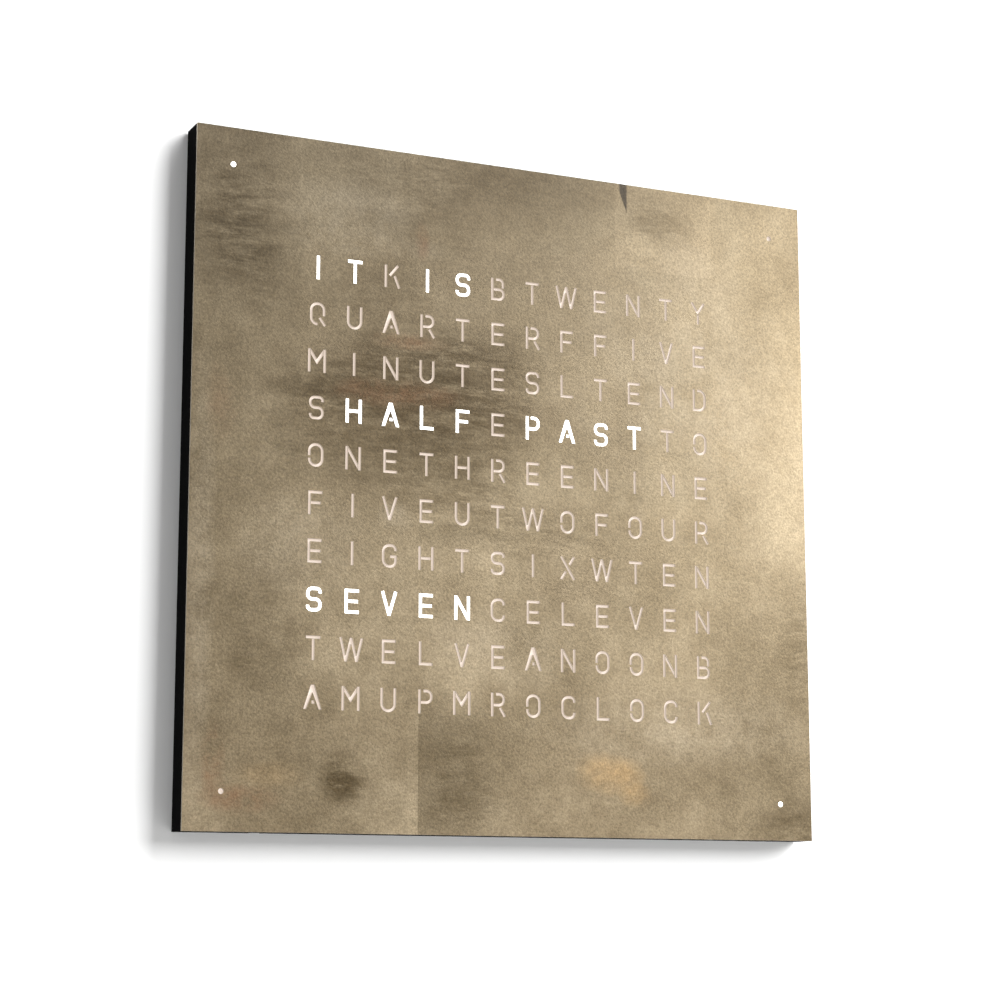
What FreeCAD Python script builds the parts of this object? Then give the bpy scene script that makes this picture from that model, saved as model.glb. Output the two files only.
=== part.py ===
"""Wall word clock: a square sheet-steel face, held by magnets on a moulded casing.

Origin at the middle of the casing's back, on the wall. X to the right, Z up, and the
face looks along -Y. A "level" is a distance out from the wall. Millimetres.
"""
import FreeCAD, Part
import math
import os
import re

import Sketcher

# Driving sizes: name, value, what it is
SIZES = (
    ("face_width", 450.0, "front plate, side to side"),
    ("face_height", 450.0, "front plate, top to bottom"),
    ("plate_thick", 1.5, "front plate sheet"),
    ("plate_edge", 0.2, "broken edge round the front plate"),
    ("dot_inset", 24.6, "face edge to a minute dot, each way"),
    ("dot_radius", 1.8, "minute dot hole"),
    ("film_inset", 19.5, "plate edge to film edge"),
    ("film_thick", 0.5, "light-spreading film"),
    ("stud_radius", 2.0, "locating stud"),
    ("stud_length", 8.0, "locating stud"),
    ("stud_clearance", 0.2, "round a stud in its bore"),
    ("casing_depth", 19.5, "wall to the casing's front edge"),
    ("side_wall", 5.0, "casing side wall"),
    ("back_wall", 2.5, "casing back"),
    ("casing_edge", 0.8, "broken edge round the casing's back"),
    ("pillar_inset", 11.0, "face edge to the middle of a pillar"),
    ("pillar_side", 14.0, "square magnet and stud pillars"),
    ("magnet_station", 150.0, "middle of an upright side to a magnet"),
    ("magnet_inset", 131.0, "face side to a magnet at the top or bottom"),
    ("stud_station", 60.0, "middle of a side to a stud"),
    ("magnet_side", 10.0, "square block magnet"),
    ("magnet_thick", 4.0, "block magnet"),
    ("seat_clearance", 0.05, "round a seated piece"),
    ("column_count", 12, "letters in a row"),
    ("row_count", 10, "rows of letters"),
    ("letter_side_margin", 70.8, "face side to the first column's cells"),
    ("letter_end_margin", 70.0, "face top or bottom to the lettering, on average"),
    ("letters_rise", -0.75, "middle of the lettering above the middle of the face"),
    ("cell_wall", 1.4, "wall between two light cells, at the film"),
    ("cell_draft", 1.5, "taper of a light cell, degrees a side"),
    ("film_gap", 0.2, "light grid to film"),
    ("ear_reach", 5.8, "letter cells to the middle of a screw ear"),
    ("ear_width", 10.0, "screw ear"),
    ("ear_tip", 5.0, "middle of an ear's screw to its tip"),
    ("ear_thick", 3.0, "screw ear"),
    ("ear_station", 110.0, "middle ear to the next on the sides"),
    ("end_ear_station", 80.0, "ears at the top and bottom"),
    ("board_thick", 1.6, "circuit boards"),
    ("board_level", 8.0, "back of the letter board above the wall"),
    ("board_margin", 10.8, "letter cells to the board's edge"),
    ("rib_thick", 1.6, "stiffening rib"),
    ("rib_station", 55.0, "stiffening rib from the middle"),
    ("rib_inset", 5.0, "letter cells' edge to a rib's end"),
    ("led_side", 5.0, "light-emitting diode"),
    ("led_thick", 1.6, "light-emitting diode"),
    ("chip_width", 7.5, "driver chip"),
    ("chip_length", 15.4, "driver chip"),
    ("chip_thick", 2.5, "driver chip"),
    ("chip_inner", 37.0, "middle to the inner driver chips"),
    ("chip_outer", 75.0, "middle to the outer driver chips"),
    ("post_radius", 4.0, "post under the letter board"),
    ("screw_radius", 1.45, "board screw shank"),
    ("screw_clearance", 0.1, "round a screw in its hole"),
    ("head_radius", 2.8, "board screw head"),
    ("head_thick", 2.0, "board screw head"),
    ("screw_bite", 4.4, "screw length in its post"),
    ("small_post_radius", 3.0, "post under a small board"),
    ("small_bite", 2.6, "small board screw length in its post"),
    ("corner_side", 24.0, "square corner board"),
    ("corner_hole", 8.5, "middle of a corner board to its screw, each way"),
    ("cup_side", 11.0, "square light cup, outside"),
    ("cup_bore", 9.0, "square light cup, inside"),
    ("cup_foot_side", 12.4, "light cup foot"),
    ("cup_foot_thick", 1.5, "light cup foot"),
    ("low_level", 5.5, "back of the control and radio boards above the wall"),
    ("control_gap", 16.5, "power socket's back to the control board"),
    ("control_width", 120.0, "control board"),
    ("control_height", 42.0, "control board"),
    ("control_rise", 33.0, "underside up to the control board's middle"),
    ("board_hole_inset", 4.0, "small board edge to its screw"),
    ("button_inset", 111.0, "right side to the first button"),
    ("button_pitch", 18.0, "button to button"),
    ("button_level", 11.0, "buttons above the wall"),
    ("button_radius", 3.5, "button cap"),
    ("button_clearance", 0.1, "round a button cap in the wall"),
    ("flange_width", 10.0, "button flange behind the wall, across"),
    ("flange_height", 8.4, "button flange, out from the wall"),
    ("flange_thick", 1.2, "button flange"),
    ("stem_side", 3.0, "square button stem"),
    ("button_reach", 8.5, "underside of the clock to a switch plunger"),
    ("plunger_radius", 1.75, "switch plunger"),
    ("plunger_length", 3.0, "switch plunger"),
    ("plunger_show", 1.5, "plunger standing out of its switch"),
    ("plunger_bore", 2.4, "depth of the plunger's bore"),
    ("switch_width", 6.2, "push switch"),
    ("switch_height", 6.0, "push switch, along the plunger"),
    ("switch_thick", 3.5, "push switch off its board"),
    ("button_board_side", 10.0, "end buttons to the board's ends"),
    ("button_board_height", 15.0, "button board"),
    ("recess_inset", 45.0, "left side to the power recess"),
    ("recess_width", 62.0, "power recess"),
    ("recess_height", 26.0, "power recess"),
    ("recess_depth", 14.0, "power recess from the back"),
    ("recess_rise", 32.0, "underside up to the recess's middle"),
    ("recess_shell", 2.5, "walls round the recess"),
    ("channel_width", 8.0, "cable channel"),
    ("channel_depth", 8.0, "cable channel from the back"),
    ("channel_offset", 8.0, "recess's left side to the channel's middle"),
    ("socket_level", 8.2, "power socket above the wall"),
    ("socket_length", 14.0, "power socket body"),
    ("socket_width", 9.5, "power socket body"),
    ("socket_thick", 11.0, "power socket body"),
    ("socket_nose", 4.0, "power socket nose radius"),
    ("socket_bore", 3.15, "power socket bore radius"),
    ("socket_bore_depth", 9.5, "power socket bore"),
    ("socket_pin_radius", 1.05, "centre contact"),
    ("socket_pin_length", 9.0, "centre contact"),
    ("hanger_inset", 105.0, "side to a keyhole hanger"),
    ("hanger_drop", 34.5, "top down to a keyhole plate's middle"),
    ("hanger_width", 20.0, "keyhole plate"),
    ("hanger_height", 44.0, "keyhole plate"),
    ("hanger_thick", 1.5, "keyhole plate"),
    ("hanger_block_margin", 2.0, "block round a keyhole plate"),
    ("hanger_block_level", 10.5, "block round a keyhole plate"),
    ("keyhole_entry", 4.5, "keyhole's round entry"),
    ("keyhole_slot", 2.5, "keyhole's slot, half width"),
    ("keyhole_drop", 7.0, "middle of the plate down to the entry"),
    ("keyhole_top", 6.0, "middle of the plate up to the slot's end"),
    ("head_room_width", 14.0, "hollow behind the keyhole"),
    ("head_room_height", 26.0, "hollow behind the keyhole"),
    ("head_room_depth", 8.0, "hollow behind the keyhole, from the back"),
    ("hanger_screw_spread", 18.0, "middle of the plate to its screws"),
    ("hanger_screw_length", 8.0, "hanger screw"),
    ("hanger_head_thick", 0.8, "hanger screw head"),
    ("rod_inset", 35.0, "left side to the ferrite rod"),
    ("rod_level", 11.0, "ferrite rod above the wall"),
    ("rod_radius", 4.5, "ferrite rod"),
    ("rod_length", 90.0, "ferrite rod"),
    ("coil_radius", 6.8, "antenna winding"),
    ("coil_length", 40.0, "antenna winding"),
    ("holder_station", 34.0, "middle of the rod to a holder"),
    ("holder_width", 15.0, "rod holder"),
    ("holder_height", 8.0, "rod holder, along the rod"),
    ("holder_thick", 14.5, "rod holder off the casing's back"),
    ("radio_inset", 15.0, "left side to the radio board's middle"),
    ("radio_width", 14.0, "radio board"),
    ("radio_height", 50.0, "radio board"),
    ("sensor_inset", 75.0, "right side to the light sensor"),
    ("sensor_level", 11.0, "light sensor above the wall"),
    ("sensor_board_width", 16.0, "sensor board"),
    ("sensor_board_height", 10.0, "sensor board, out from the wall"),
    ("sensor_board_drop", 10.4, "top of the clock down to the sensor board"),
    ("rail_width", 3.0, "sensor board rail"),
    ("rail_height", 4.6, "sensor board rail"),
    ("rail_groove", 1.5, "board edge held in a rail"),
    ("window_radius", 2.4, "sensor window"),
    ("window_flange", 4.0, "sensor window flange"),
    ("window_flange_thick", 1.0, "sensor window flange"),
    ("lead_radius", 1.0, "thin leads"),
    ("power_lead_radius", 0.8, "power leads"),
    ("ribbon_width", 25.0, "flat cable"),
    ("ribbon_thick", 0.4, "flat cable"),
    ("connector_width", 30.0, "flat cable connector"),
    ("connector_height", 5.0, "flat cable connector"),
    ("connector_thick", 2.5, "flat cable connector"),
    ("connector_inset", 0.75, "board edge to a flat cable connector"),
    ("ribbon_straight", 1.8, "flat cable, straight out of a connector"),
    ("processor_side", 10.0, "microcontroller"),
    ("processor_thick", 1.4, "microcontroller"),
    ("clock_chip_width", 10.3, "clock chip"),
    ("clock_chip_height", 7.5, "clock chip"),
    ("clock_chip_thick", 2.4, "clock chip"),
    ("crystal_width", 8.0, "timing crystal"),
    ("crystal_height", 3.2, "timing crystal"),
    ("crystal_thick", 3.0, "timing crystal"),
    ("choke_side", 10.0, "power coil"),
    ("choke_thick", 5.0, "power coil"),
    ("header_width", 8.0, "power terminal"),
    ("header_height", 10.0, "power terminal"),
    ("header_thick", 7.0, "power terminal"),
    ("header_inset", 5.0, "control board's left edge to the terminal's middle"),
    ("can_radius", 4.0, "power capacitor"),
    ("can_height", 9.0, "power capacitor"),
    ("cell_radius", 10.0, "coin cell"),
    ("cell_thick", 3.2, "coin cell"),
    ("holder_side", 24.0, "coin cell holder"),
    ("holder_floor", 0.9, "coin cell holder under the cell"),
    ("cell_holder_thick", 4.4, "coin cell holder"),
    ("radio_chip_width", 6.0, "radio chip"),
    ("radio_chip_height", 10.0, "radio chip"),
    ("radio_chip_thick", 1.8, "radio chip"),
    ("sensor_side", 4.0, "light sensor"),
    ("sensor_thick", 2.0, "light sensor"),
)

document = FreeCAD.newDocument("WordClock")
sheet = document.addObject("Spreadsheet::Sheet", "Sizes")
for row, (alias, value, meaning) in enumerate(SIZES, start=1):
    sheet.set(f"A{row}", meaning)
    sheet.set(f"B{row}", str(value))
    sheet.setAlias(f"B{row}", alias)
document.recompute()

NAMES = {alias for alias, value, meaning in SIZES}


# Formulas: plain text with size names, as a number now and as a bound expression
def size(formula):
    return float(sheet.evalExpression(str(formula)))


def bound(formula):
    def with_sheet(found):
        word = found.group()
        return f"Sizes.{word}" if word in NAMES else word

    return re.sub(r"[a-z][a-z_]*", with_sheet, str(formula))


# Bodies, sketches and their outlines
def new_body(name):
    body = document.addObject("PartDesign::Body", name)
    body.Label = name
    body.AllowCompound = True
    return body


def new_sketch(body, name, level="0", plane="XZ_Plane"):
    """A sketch on one of the body's origin planes, moved out by a level."""
    sketch = body.newObject("Sketcher::SketchObject", f"{body.Label}_{name}")
    origin = [feature for feature in body.Origin.OriginFeatures if feature.Role == plane]
    sketch.AttachmentSupport = [(origin[0], "")]
    sketch.MapMode = "FlatFace"
    sketch.setExpression("AttachmentOffset.Base.z", bound(level))
    return sketch


def fix(sketch, kind, element, point, formula):
    """Hold one coordinate of a point at a formula's value."""
    value = size(formula)
    index = sketch.addConstraint(Sketcher.Constraint(kind, -1, 1, element, point, value))
    sketch.setExpression(f"Constraints[{index}]", bound(formula))


def outline(sketch, corners):
    """A closed outline of straight edges through corners given as formulas."""
    places = [FreeCAD.Vector(size(across), size(up), 0) for across, up in corners]
    first = sketch.GeometryCount
    count = len(places)
    edges = [Part.LineSegment(places[k], places[(k + 1) % count]) for k in range(count)]
    sketch.addGeometry(edges, False)
    for k, (across, up) in enumerate(corners):
        after = first + (k + 1) % count
        sketch.addConstraint(Sketcher.Constraint("Coincident", first + k, 2, after, 1))
        fix(sketch, "DistanceX", first + k, 1, across)
        fix(sketch, "DistanceY", first + k, 1, up)


def rectangle(sketch, across, up, width, height):
    """A rectangle about a middle; every argument is a formula."""
    left = f"{across} - ({width}) / 2"
    right = f"{across} + ({width}) / 2"
    low = f"{up} - ({height}) / 2"
    high = f"{up} + ({height}) / 2"
    outline(sketch, [(left, low), (right, low), (right, high), (left, high)])


def circles(sketch, middles, radius):
    """Circles of one radius; middles are pairs of formulas."""
    for across, up in middles:
        middle = FreeCAD.Vector(size(across), size(up), 0)
        element = sketch.addGeometry(
            Part.Circle(middle, FreeCAD.Vector(0, 0, 1), size(radius)), False
        )
        fix(sketch, "DistanceX", element, 3, across)
        fix(sketch, "DistanceY", element, 3, up)
        index = sketch.addConstraint(Sketcher.Constraint("Radius", element, size(radius)))
        sketch.setExpression(f"Constraints[{index}]", bound(radius))


def hexagons(sketch, middles, radius):
    """Six-sided outlines; the radius is from the middle to a flat side."""
    corner = f"({radius}) * 2 / sqrt(3)"
    for across, up in middles:
        outline(
            sketch,
            [
                (f"{across} + {corner}", up),
                (f"{across} + {corner} / 2", f"{up} + {radius}"),
                (f"{across} - {corner} / 2", f"{up} + {radius}"),
                (f"{across} - {corner}", up),
                (f"{across} - {corner} / 2", f"{up} - ({radius})"),
                (f"{across} + {corner} / 2", f"{up} - ({radius})"),
            ],
        )


def squares(sketch, middles, side):
    """Square outlines about their middles."""
    for across, up in middles:
        rectangle(sketch, across, up, side, side)


# Features
def pad(sketch, length):
    """Grow the sketch away from the wall (or along its plane's normal)."""
    body = sketch.getParentGeoFeatureGroup()
    feature = body.newObject("PartDesign::Pad", f"{sketch.Label}_pad")
    feature.Profile = sketch
    feature.setExpression("Length", bound(length))
    document.recompute()
    return feature


def pocket(sketch, length, outwards=False, draft=None):
    """Cut the sketch towards the wall, or outwards from its plane."""
    body = sketch.getParentGeoFeatureGroup()
    before = body.Tip.Shape.Volume
    feature = body.newObject("PartDesign::Pocket", f"{sketch.Label}_pocket")
    feature.Profile = sketch
    feature.Reversed = outwards
    feature.setExpression("Length", bound(length))
    if draft:
        feature.setExpression("TaperAngle", bound(draft))
    document.recompute()
    if feature.Shape.Volume >= before:
        raise RuntimeError(f"{feature.Label} cuts nothing")
    return feature


def turn(sketch):
    """Turn a profile about the sketch's upright axis."""
    body = sketch.getParentGeoFeatureGroup()
    feature = body.newObject("PartDesign::Revolution", f"{sketch.Label}_turned")
    feature.Profile = sketch
    feature.ReferenceAxis = (sketch, ["V_Axis"])
    feature.Angle = 360
    document.recompute()
    return feature


def repeat(feature, across_count, across_step, up_count, up_step):
    """Repeat a feature over columns and rows along its own sketch's axes."""
    body = feature.getParentGeoFeatureGroup()
    sketch = feature.Profile[0]
    pattern = body.newObject("PartDesign::LinearPattern", f"{feature.Label}_rows")
    pattern.Originals = [feature]
    pattern.Direction = (sketch, ["H_Axis"])
    pattern.Direction2 = (sketch, ["V_Axis"])
    pattern.setExpression("Length", bound(f"({across_count} - 1) * {across_step}"))
    pattern.setExpression("Occurrences", bound(across_count))
    pattern.setExpression("Length2", bound(f"({up_count} - 1) * {up_step}"))
    pattern.setExpression("Occurrences2", bound(up_count))
    body.Tip = pattern
    document.recompute()
    return pattern


def chamfer_outer_edges(feature, level, width):
    """Break the straight edges that lie in the plane at this level."""
    body = feature.getParentGeoFeatureGroup()
    depth = -size(level)
    names = []
    for number, edge in enumerate(feature.Shape.Edges, start=1):
        box = edge.BoundBox
        if abs(box.YMin - depth) < 1e-6 and abs(box.YMax - depth) < 1e-6:
            names.append(f"Edge{number}")
    chamfer = body.newObject("PartDesign::Chamfer", f"{feature.Label}_edge")
    chamfer.Base = (feature, names)
    chamfer.setExpression("Size", bound(width))
    document.recompute()
    return chamfer


def place(body, across, level, up):
    """Put a body that is drawn about its own axis where it belongs."""
    body.setExpression("Placement.Base.x", bound(across))
    body.setExpression("Placement.Base.y", bound(f"-({level})"))
    body.setExpression("Placement.Base.z", bound(up))


def plate(name, level, across, up, width, height, thick):
    """A flat rectangular piece, parallel to the wall."""
    body = new_body(name)
    outer = new_sketch(body, "outline", level)
    rectangle(outer, across, up, width, height)
    pad(outer, thick)
    return body


def bars(body, name, level, middles, across_size, length, draw=hexagons):
    """Bars that stand out from a level. The many small ones are six-sided."""
    sketch = new_sketch(body, name, level)
    draw(sketch, middles, across_size)
    return pad(sketch, length)


def holes(body, name, level, middles, across_size, length, outwards=False, draw=hexagons):
    """Holes, cut from a level towards the wall or outwards; six-sided as the bars are."""
    sketch = new_sketch(body, name, level)
    draw(sketch, middles, across_size)
    return pocket(sketch, length, outwards)


# Derived places, as formulas of the sizes
GRID_HALF_WIDTH = "(face_width / 2 - letter_side_margin)"
GRID_HALF_HEIGHT = "(face_height / 2 - letter_end_margin)"
COLUMN_PITCH = f"(2 * {GRID_HALF_WIDTH} / column_count)"
ROW_PITCH = f"(2 * {GRID_HALF_HEIGHT} / row_count)"
BOARD_FRONT = "board_level + board_thick"
FILM_BACK = "casing_depth - film_thick"
FLOOR = "back_wall"
UNDERSIDE = "-face_height / 2"
TOP_SIDE = "face_height / 2"
LOW_FRONT = "low_level + board_thick"
RECESS_LEFT = "(-face_width / 2 + recess_inset)"
RECESS_MIDDLE = f"({RECESS_LEFT} + recess_width / 2)"
RECESS_RIGHT = f"({RECESS_LEFT} + recess_width)"
RECESS_UP = "(-face_height / 2 + recess_rise)"
CHANNEL_MIDDLE = f"({RECESS_LEFT} + channel_offset)"
SOCKET_BACK = f"({RECESS_RIGHT} + recess_shell + socket_length)"
CONTROL_LEFT = f"({SOCKET_BACK} + control_gap)"
CONTROL_MIDDLE = f"({CONTROL_LEFT} + control_width / 2)"
CONTROL_UP = "(-face_height / 2 + control_rise)"
RADIO_ACROSS = "(-face_width / 2 + radio_inset)"
ROD_ACROSS = "(-face_width / 2 + rod_inset)"
SENSOR_ACROSS = "(face_width / 2 - sensor_inset)"
DOT_ACROSS = "(face_width / 2 - dot_inset)"
DOT_UP = "(face_height / 2 - dot_inset)"
SWITCH_BOARD_LEVEL = "button_level - switch_thick / 2 - board_thick"
SWITCH_FOOT = "-face_height / 2 + button_reach + plunger_show"
BUTTON_FIRST = "(face_width / 2 - button_inset)"
BUTTON_BOARD_MIDDLE = f"({BUTTON_FIRST} + 1.5 * button_pitch)"
BUTTON_BOARD_UP = f"{SWITCH_FOOT} + button_board_height / 2"

SIGNS = ((-1, -1), (1, -1), (1, 1), (-1, 1))

SIDE_EARS = [
    (f"{sign} * ({GRID_HALF_WIDTH} + ear_reach)", f"letters_rise + {step} * ear_station")
    for sign in (-1, 1)
    for step in (-1, 0, 1)
]
END_EARS = [
    (f"{across} * end_ear_station", f"letters_rise + {up} * ({GRID_HALF_HEIGHT} + ear_reach)")
    for across, up in SIGNS
]
EARS = SIDE_EARS + END_EARS

DOTS = [(f"{across} * {DOT_ACROSS}", f"{up} * {DOT_UP}") for across, up in SIGNS]
CORNER_SCREWS = [
    (
        f"{across} * ({DOT_ACROSS} + {turn_way} * corner_hole)",
        f"{up} * ({DOT_UP} - {turn_way} * corner_hole)",
    )
    for across, up in SIGNS
    for turn_way in (-1, 1)
]
CONTROL_SCREWS = [
    (
        f"{CONTROL_MIDDLE} + {across} * (control_width / 2 - board_hole_inset)",
        f"{CONTROL_UP} + {up} * (control_height / 2 - board_hole_inset)",
    )
    for across, up in SIGNS
]
RADIO_SCREWS = [
    (RADIO_ACROSS, f"{up} * (radio_height / 2 - board_hole_inset)") for up in (-1, 1)
]
BUTTON_SCREWS = [
    (
        f"{BUTTON_BOARD_MIDDLE} + {sign} * (1.5 * button_pitch + button_board_side - board_hole_inset)",
        f"{SWITCH_FOOT} + button_board_height - board_hole_inset",
    )
    for sign in (-1, 1)
]
PILLAR_X = "(face_width / 2 - pillar_inset)"
PILLAR_Z = "(face_height / 2 - pillar_inset)"
MAGNETS = [(f"{a} * {PILLAR_X}", f"{b} * magnet_station") for a, b in SIGNS]
MAGNETS += [(f"{a} * (face_width / 2 - magnet_inset)", f"{b} * {PILLAR_Z}") for a, b in SIGNS]
STUDS = [(f"{a} * {PILLAR_X}", f"{b} * stud_station") for a, b in SIGNS]
HANGER_ACROSS = "(face_width / 2 - hanger_inset)"
HANGER_UP = "(face_height / 2 - hanger_drop)"
HANGERS = [(f"{sign} * {HANGER_ACROSS}", HANGER_UP) for sign in (-1, 1)]
HANGER_SCREWS = [
    (across, f"{up} + {sign} * hanger_screw_spread") for across, up in HANGERS for sign in (-1, 1)
]
BUTTONS = [f"{BUTTON_FIRST} + {number} * button_pitch" for number in range(4)]


# The front plate: one steel sheet, its four minute dots cut through
def make_front_plate():
    body = plate("front_plate", "casing_depth", "0", "0", "face_width", "face_height", "plate_thick")
    chamfer_outer_edges(body.Tip, "casing_depth + plate_thick", "plate_edge")
    front = "casing_depth + plate_thick"
    holes(body, "dots", front, DOTS, "dot_radius", "plate_thick", draw=circles)


def make_diffuser_sheet():
    width = "face_width - 2 * film_inset"
    height = "face_height - 2 * film_inset"
    plate("diffuser_sheet", FILM_BACK, "0", "0", width, height, "film_thick")


def make_plate_studs():
    body = new_body("plate_studs")
    bars(body, "studs", "casing_depth - stud_length", STUDS, "stud_radius", "stud_length")


# The casing: a moulded tray with posts, ribs, pillars and the recesses of its back
def make_casing():
    body = plate("casing", "0", "0", "0", "face_width", "face_height", "casing_depth")
    chamfer_outer_edges(body.Tip, "0", "casing_edge")
    hollow = new_sketch(body, "hollow", "casing_depth")
    rectangle(hollow, "0", "0", "face_width - 2 * side_wall", "face_height - 2 * side_wall")
    pocket(hollow, "casing_depth - back_wall")
    pillar_height = "casing_depth - back_wall"
    bars(body, "pillars", FLOOR, MAGNETS + STUDS, "pillar_side", pillar_height, draw=squares)
    bars(body, "posts", FLOOR, EARS, "post_radius", "board_level - back_wall")
    bars(body, "corner_posts", FLOOR, CORNER_SCREWS, "small_post_radius", "board_level - back_wall")
    bars(
        body, "low_posts", FLOOR, CONTROL_SCREWS + RADIO_SCREWS, "small_post_radius",
        "low_level - back_wall",
    )
    bars(
        body, "button_posts", FLOOR, BUTTON_SCREWS, "small_post_radius",
        f"{SWITCH_BOARD_LEVEL} - back_wall",
    )
    add_ribs(body)
    add_power_recess(body)
    add_hanger_blocks(body)
    add_sensor_rails(body)
    cut_casing_holes(body)


def add_ribs(body):
    upright = new_sketch(body, "upright_ribs", FLOOR)
    for sign in (-1, 1):
        length = f"2 * ({GRID_HALF_HEIGHT} - rib_inset)"
        rectangle(upright, f"{sign} * rib_station", "letters_rise", "rib_thick", length)
    pad(upright, "board_level - back_wall")
    level = new_sketch(body, "level_ribs", FLOOR)
    for sign in (-1, 1):
        length = f"2 * ({GRID_HALF_WIDTH} - rib_inset)"
        rectangle(level, "0", f"letters_rise + {sign} * rib_station", length, "rib_thick")
    pad(level, "board_level - back_wall")


def add_power_recess(body):
    shell = new_sketch(body, "recess_shell", FLOOR)
    rectangle(
        shell, RECESS_MIDDLE, RECESS_UP, "recess_width + 2 * recess_shell",
        "recess_height + 2 * recess_shell",
    )
    pad(shell, "recess_depth + recess_shell - back_wall")
    channel_low = "-face_height / 2 + side_wall / 2"
    channel_high = f"{RECESS_UP} - recess_height / 2 - recess_shell / 2"
    channel_up = f"({channel_low} + {channel_high}) / 2"
    channel_height = f"{channel_high} - ({channel_low})"
    cover = new_sketch(body, "channel_shell", FLOOR)
    rectangle(
        cover, CHANNEL_MIDDLE, channel_up, "channel_width + 2 * recess_shell", channel_height
    )
    pad(cover, "channel_depth + recess_shell - back_wall")
    recess = new_sketch(body, "recess")
    rectangle(recess, RECESS_MIDDLE, RECESS_UP, "recess_width", "recess_height")
    pocket(recess, "recess_depth", outwards=True)
    foot = "-face_height / 2 - side_wall"
    mouth = RECESS_UP
    channel = new_sketch(body, "channel")
    rectangle(
        channel, CHANNEL_MIDDLE, f"({foot} + {mouth}) / 2", "channel_width", f"{mouth} - ({foot})"
    )
    pocket(channel, "channel_depth", outwards=True)
    nose = new_sketch(body, "socket_hole", RECESS_RIGHT, "YZ_Plane")
    circles(nose, [("-socket_level", RECESS_UP)], "socket_nose + seat_clearance")
    pocket(nose, "recess_shell", outwards=True)


def add_hanger_blocks(body):
    blocks = new_sketch(body, "hanger_blocks", FLOOR)
    for across, up in HANGERS:
        rectangle(
            blocks, across, up, "hanger_width + 2 * hanger_block_margin",
            "hanger_height + 2 * hanger_block_margin",
        )
    pad(blocks, "hanger_block_level - back_wall")
    seats = new_sketch(body, "hanger_seats")
    for across, up in HANGERS:
        rectangle(
            seats, across, up, "hanger_width + 2 * seat_clearance",
            "hanger_height + 2 * seat_clearance",
        )
    pocket(seats, "hanger_thick", outwards=True)
    hollows = new_sketch(body, "head_room")
    for across, up in HANGERS:
        rectangle(hollows, across, up, "head_room_width", "head_room_height")
    pocket(hollows, "head_room_depth", outwards=True)
    holes(
        body, "hanger_pilots", "0", HANGER_SCREWS, "screw_radius + seat_clearance",
        "hanger_screw_length + seat_clearance", outwards=True,
    )


def add_sensor_rails(body):
    reach = "(sensor_board_width / 2 + rail_width / 2 - rail_groove)"
    board_up = "face_height / 2 - sensor_board_drop - board_thick / 2"
    rails = new_sketch(body, "sensor_rails", FLOOR)
    for sign in (-1, 1):
        across = f"{SENSOR_ACROSS} + {sign} * {reach}"
        rectangle(rails, across, board_up, "rail_width", "rail_height")
    pad(rails, "sensor_level + sensor_board_height / 2 - back_wall")
    groove = new_sketch(body, "sensor_groove", "sensor_level + sensor_board_height / 2")
    rectangle(
        groove, SENSOR_ACROSS, board_up, "sensor_board_width + 2 * seat_clearance",
        "board_thick + 2 * seat_clearance",
    )
    pocket(groove, "sensor_board_height")


def cut_casing_holes(body):
    board_hole = "screw_radius + seat_clearance"
    holes(body, "pilots", "board_level", EARS, board_hole, "screw_bite + seat_clearance")
    small_bite = "small_bite + seat_clearance"
    holes(body, "corner_pilots", "board_level", CORNER_SCREWS, board_hole, small_bite)
    low_screws = CONTROL_SCREWS + RADIO_SCREWS
    holes(body, "low_pilots", "low_level", low_screws, board_hole, small_bite)
    holes(body, "button_pilots", SWITCH_BOARD_LEVEL, BUTTON_SCREWS, board_hole, small_bite)
    holes(
        body, "magnet_seats", "casing_depth", MAGNETS, "magnet_side + 2 * seat_clearance",
        "magnet_thick", draw=squares,
    )
    holes(
        body, "stud_bores", "casing_depth", STUDS, "stud_radius + stud_clearance",
        "stud_length + stud_clearance",
    )
    caps = new_sketch(body, "button_holes", UNDERSIDE, "XY_Plane")
    circles(
        caps, [(across, "-button_level") for across in BUTTONS], "button_radius + button_clearance"
    )
    pocket(caps, "side_wall", outwards=True)
    window = new_sketch(body, "window_hole", TOP_SIDE, "XY_Plane")
    circles(window, [(SENSOR_ACROSS, "-sensor_level")], "window_radius + seat_clearance")
    pocket(window, "side_wall")


def make_plate_magnets():
    body = new_body("plate_magnets")
    level = "casing_depth - magnet_thick"
    bars(body, "magnets", level, MAGNETS, "magnet_side", "magnet_thick", draw=squares)


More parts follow.
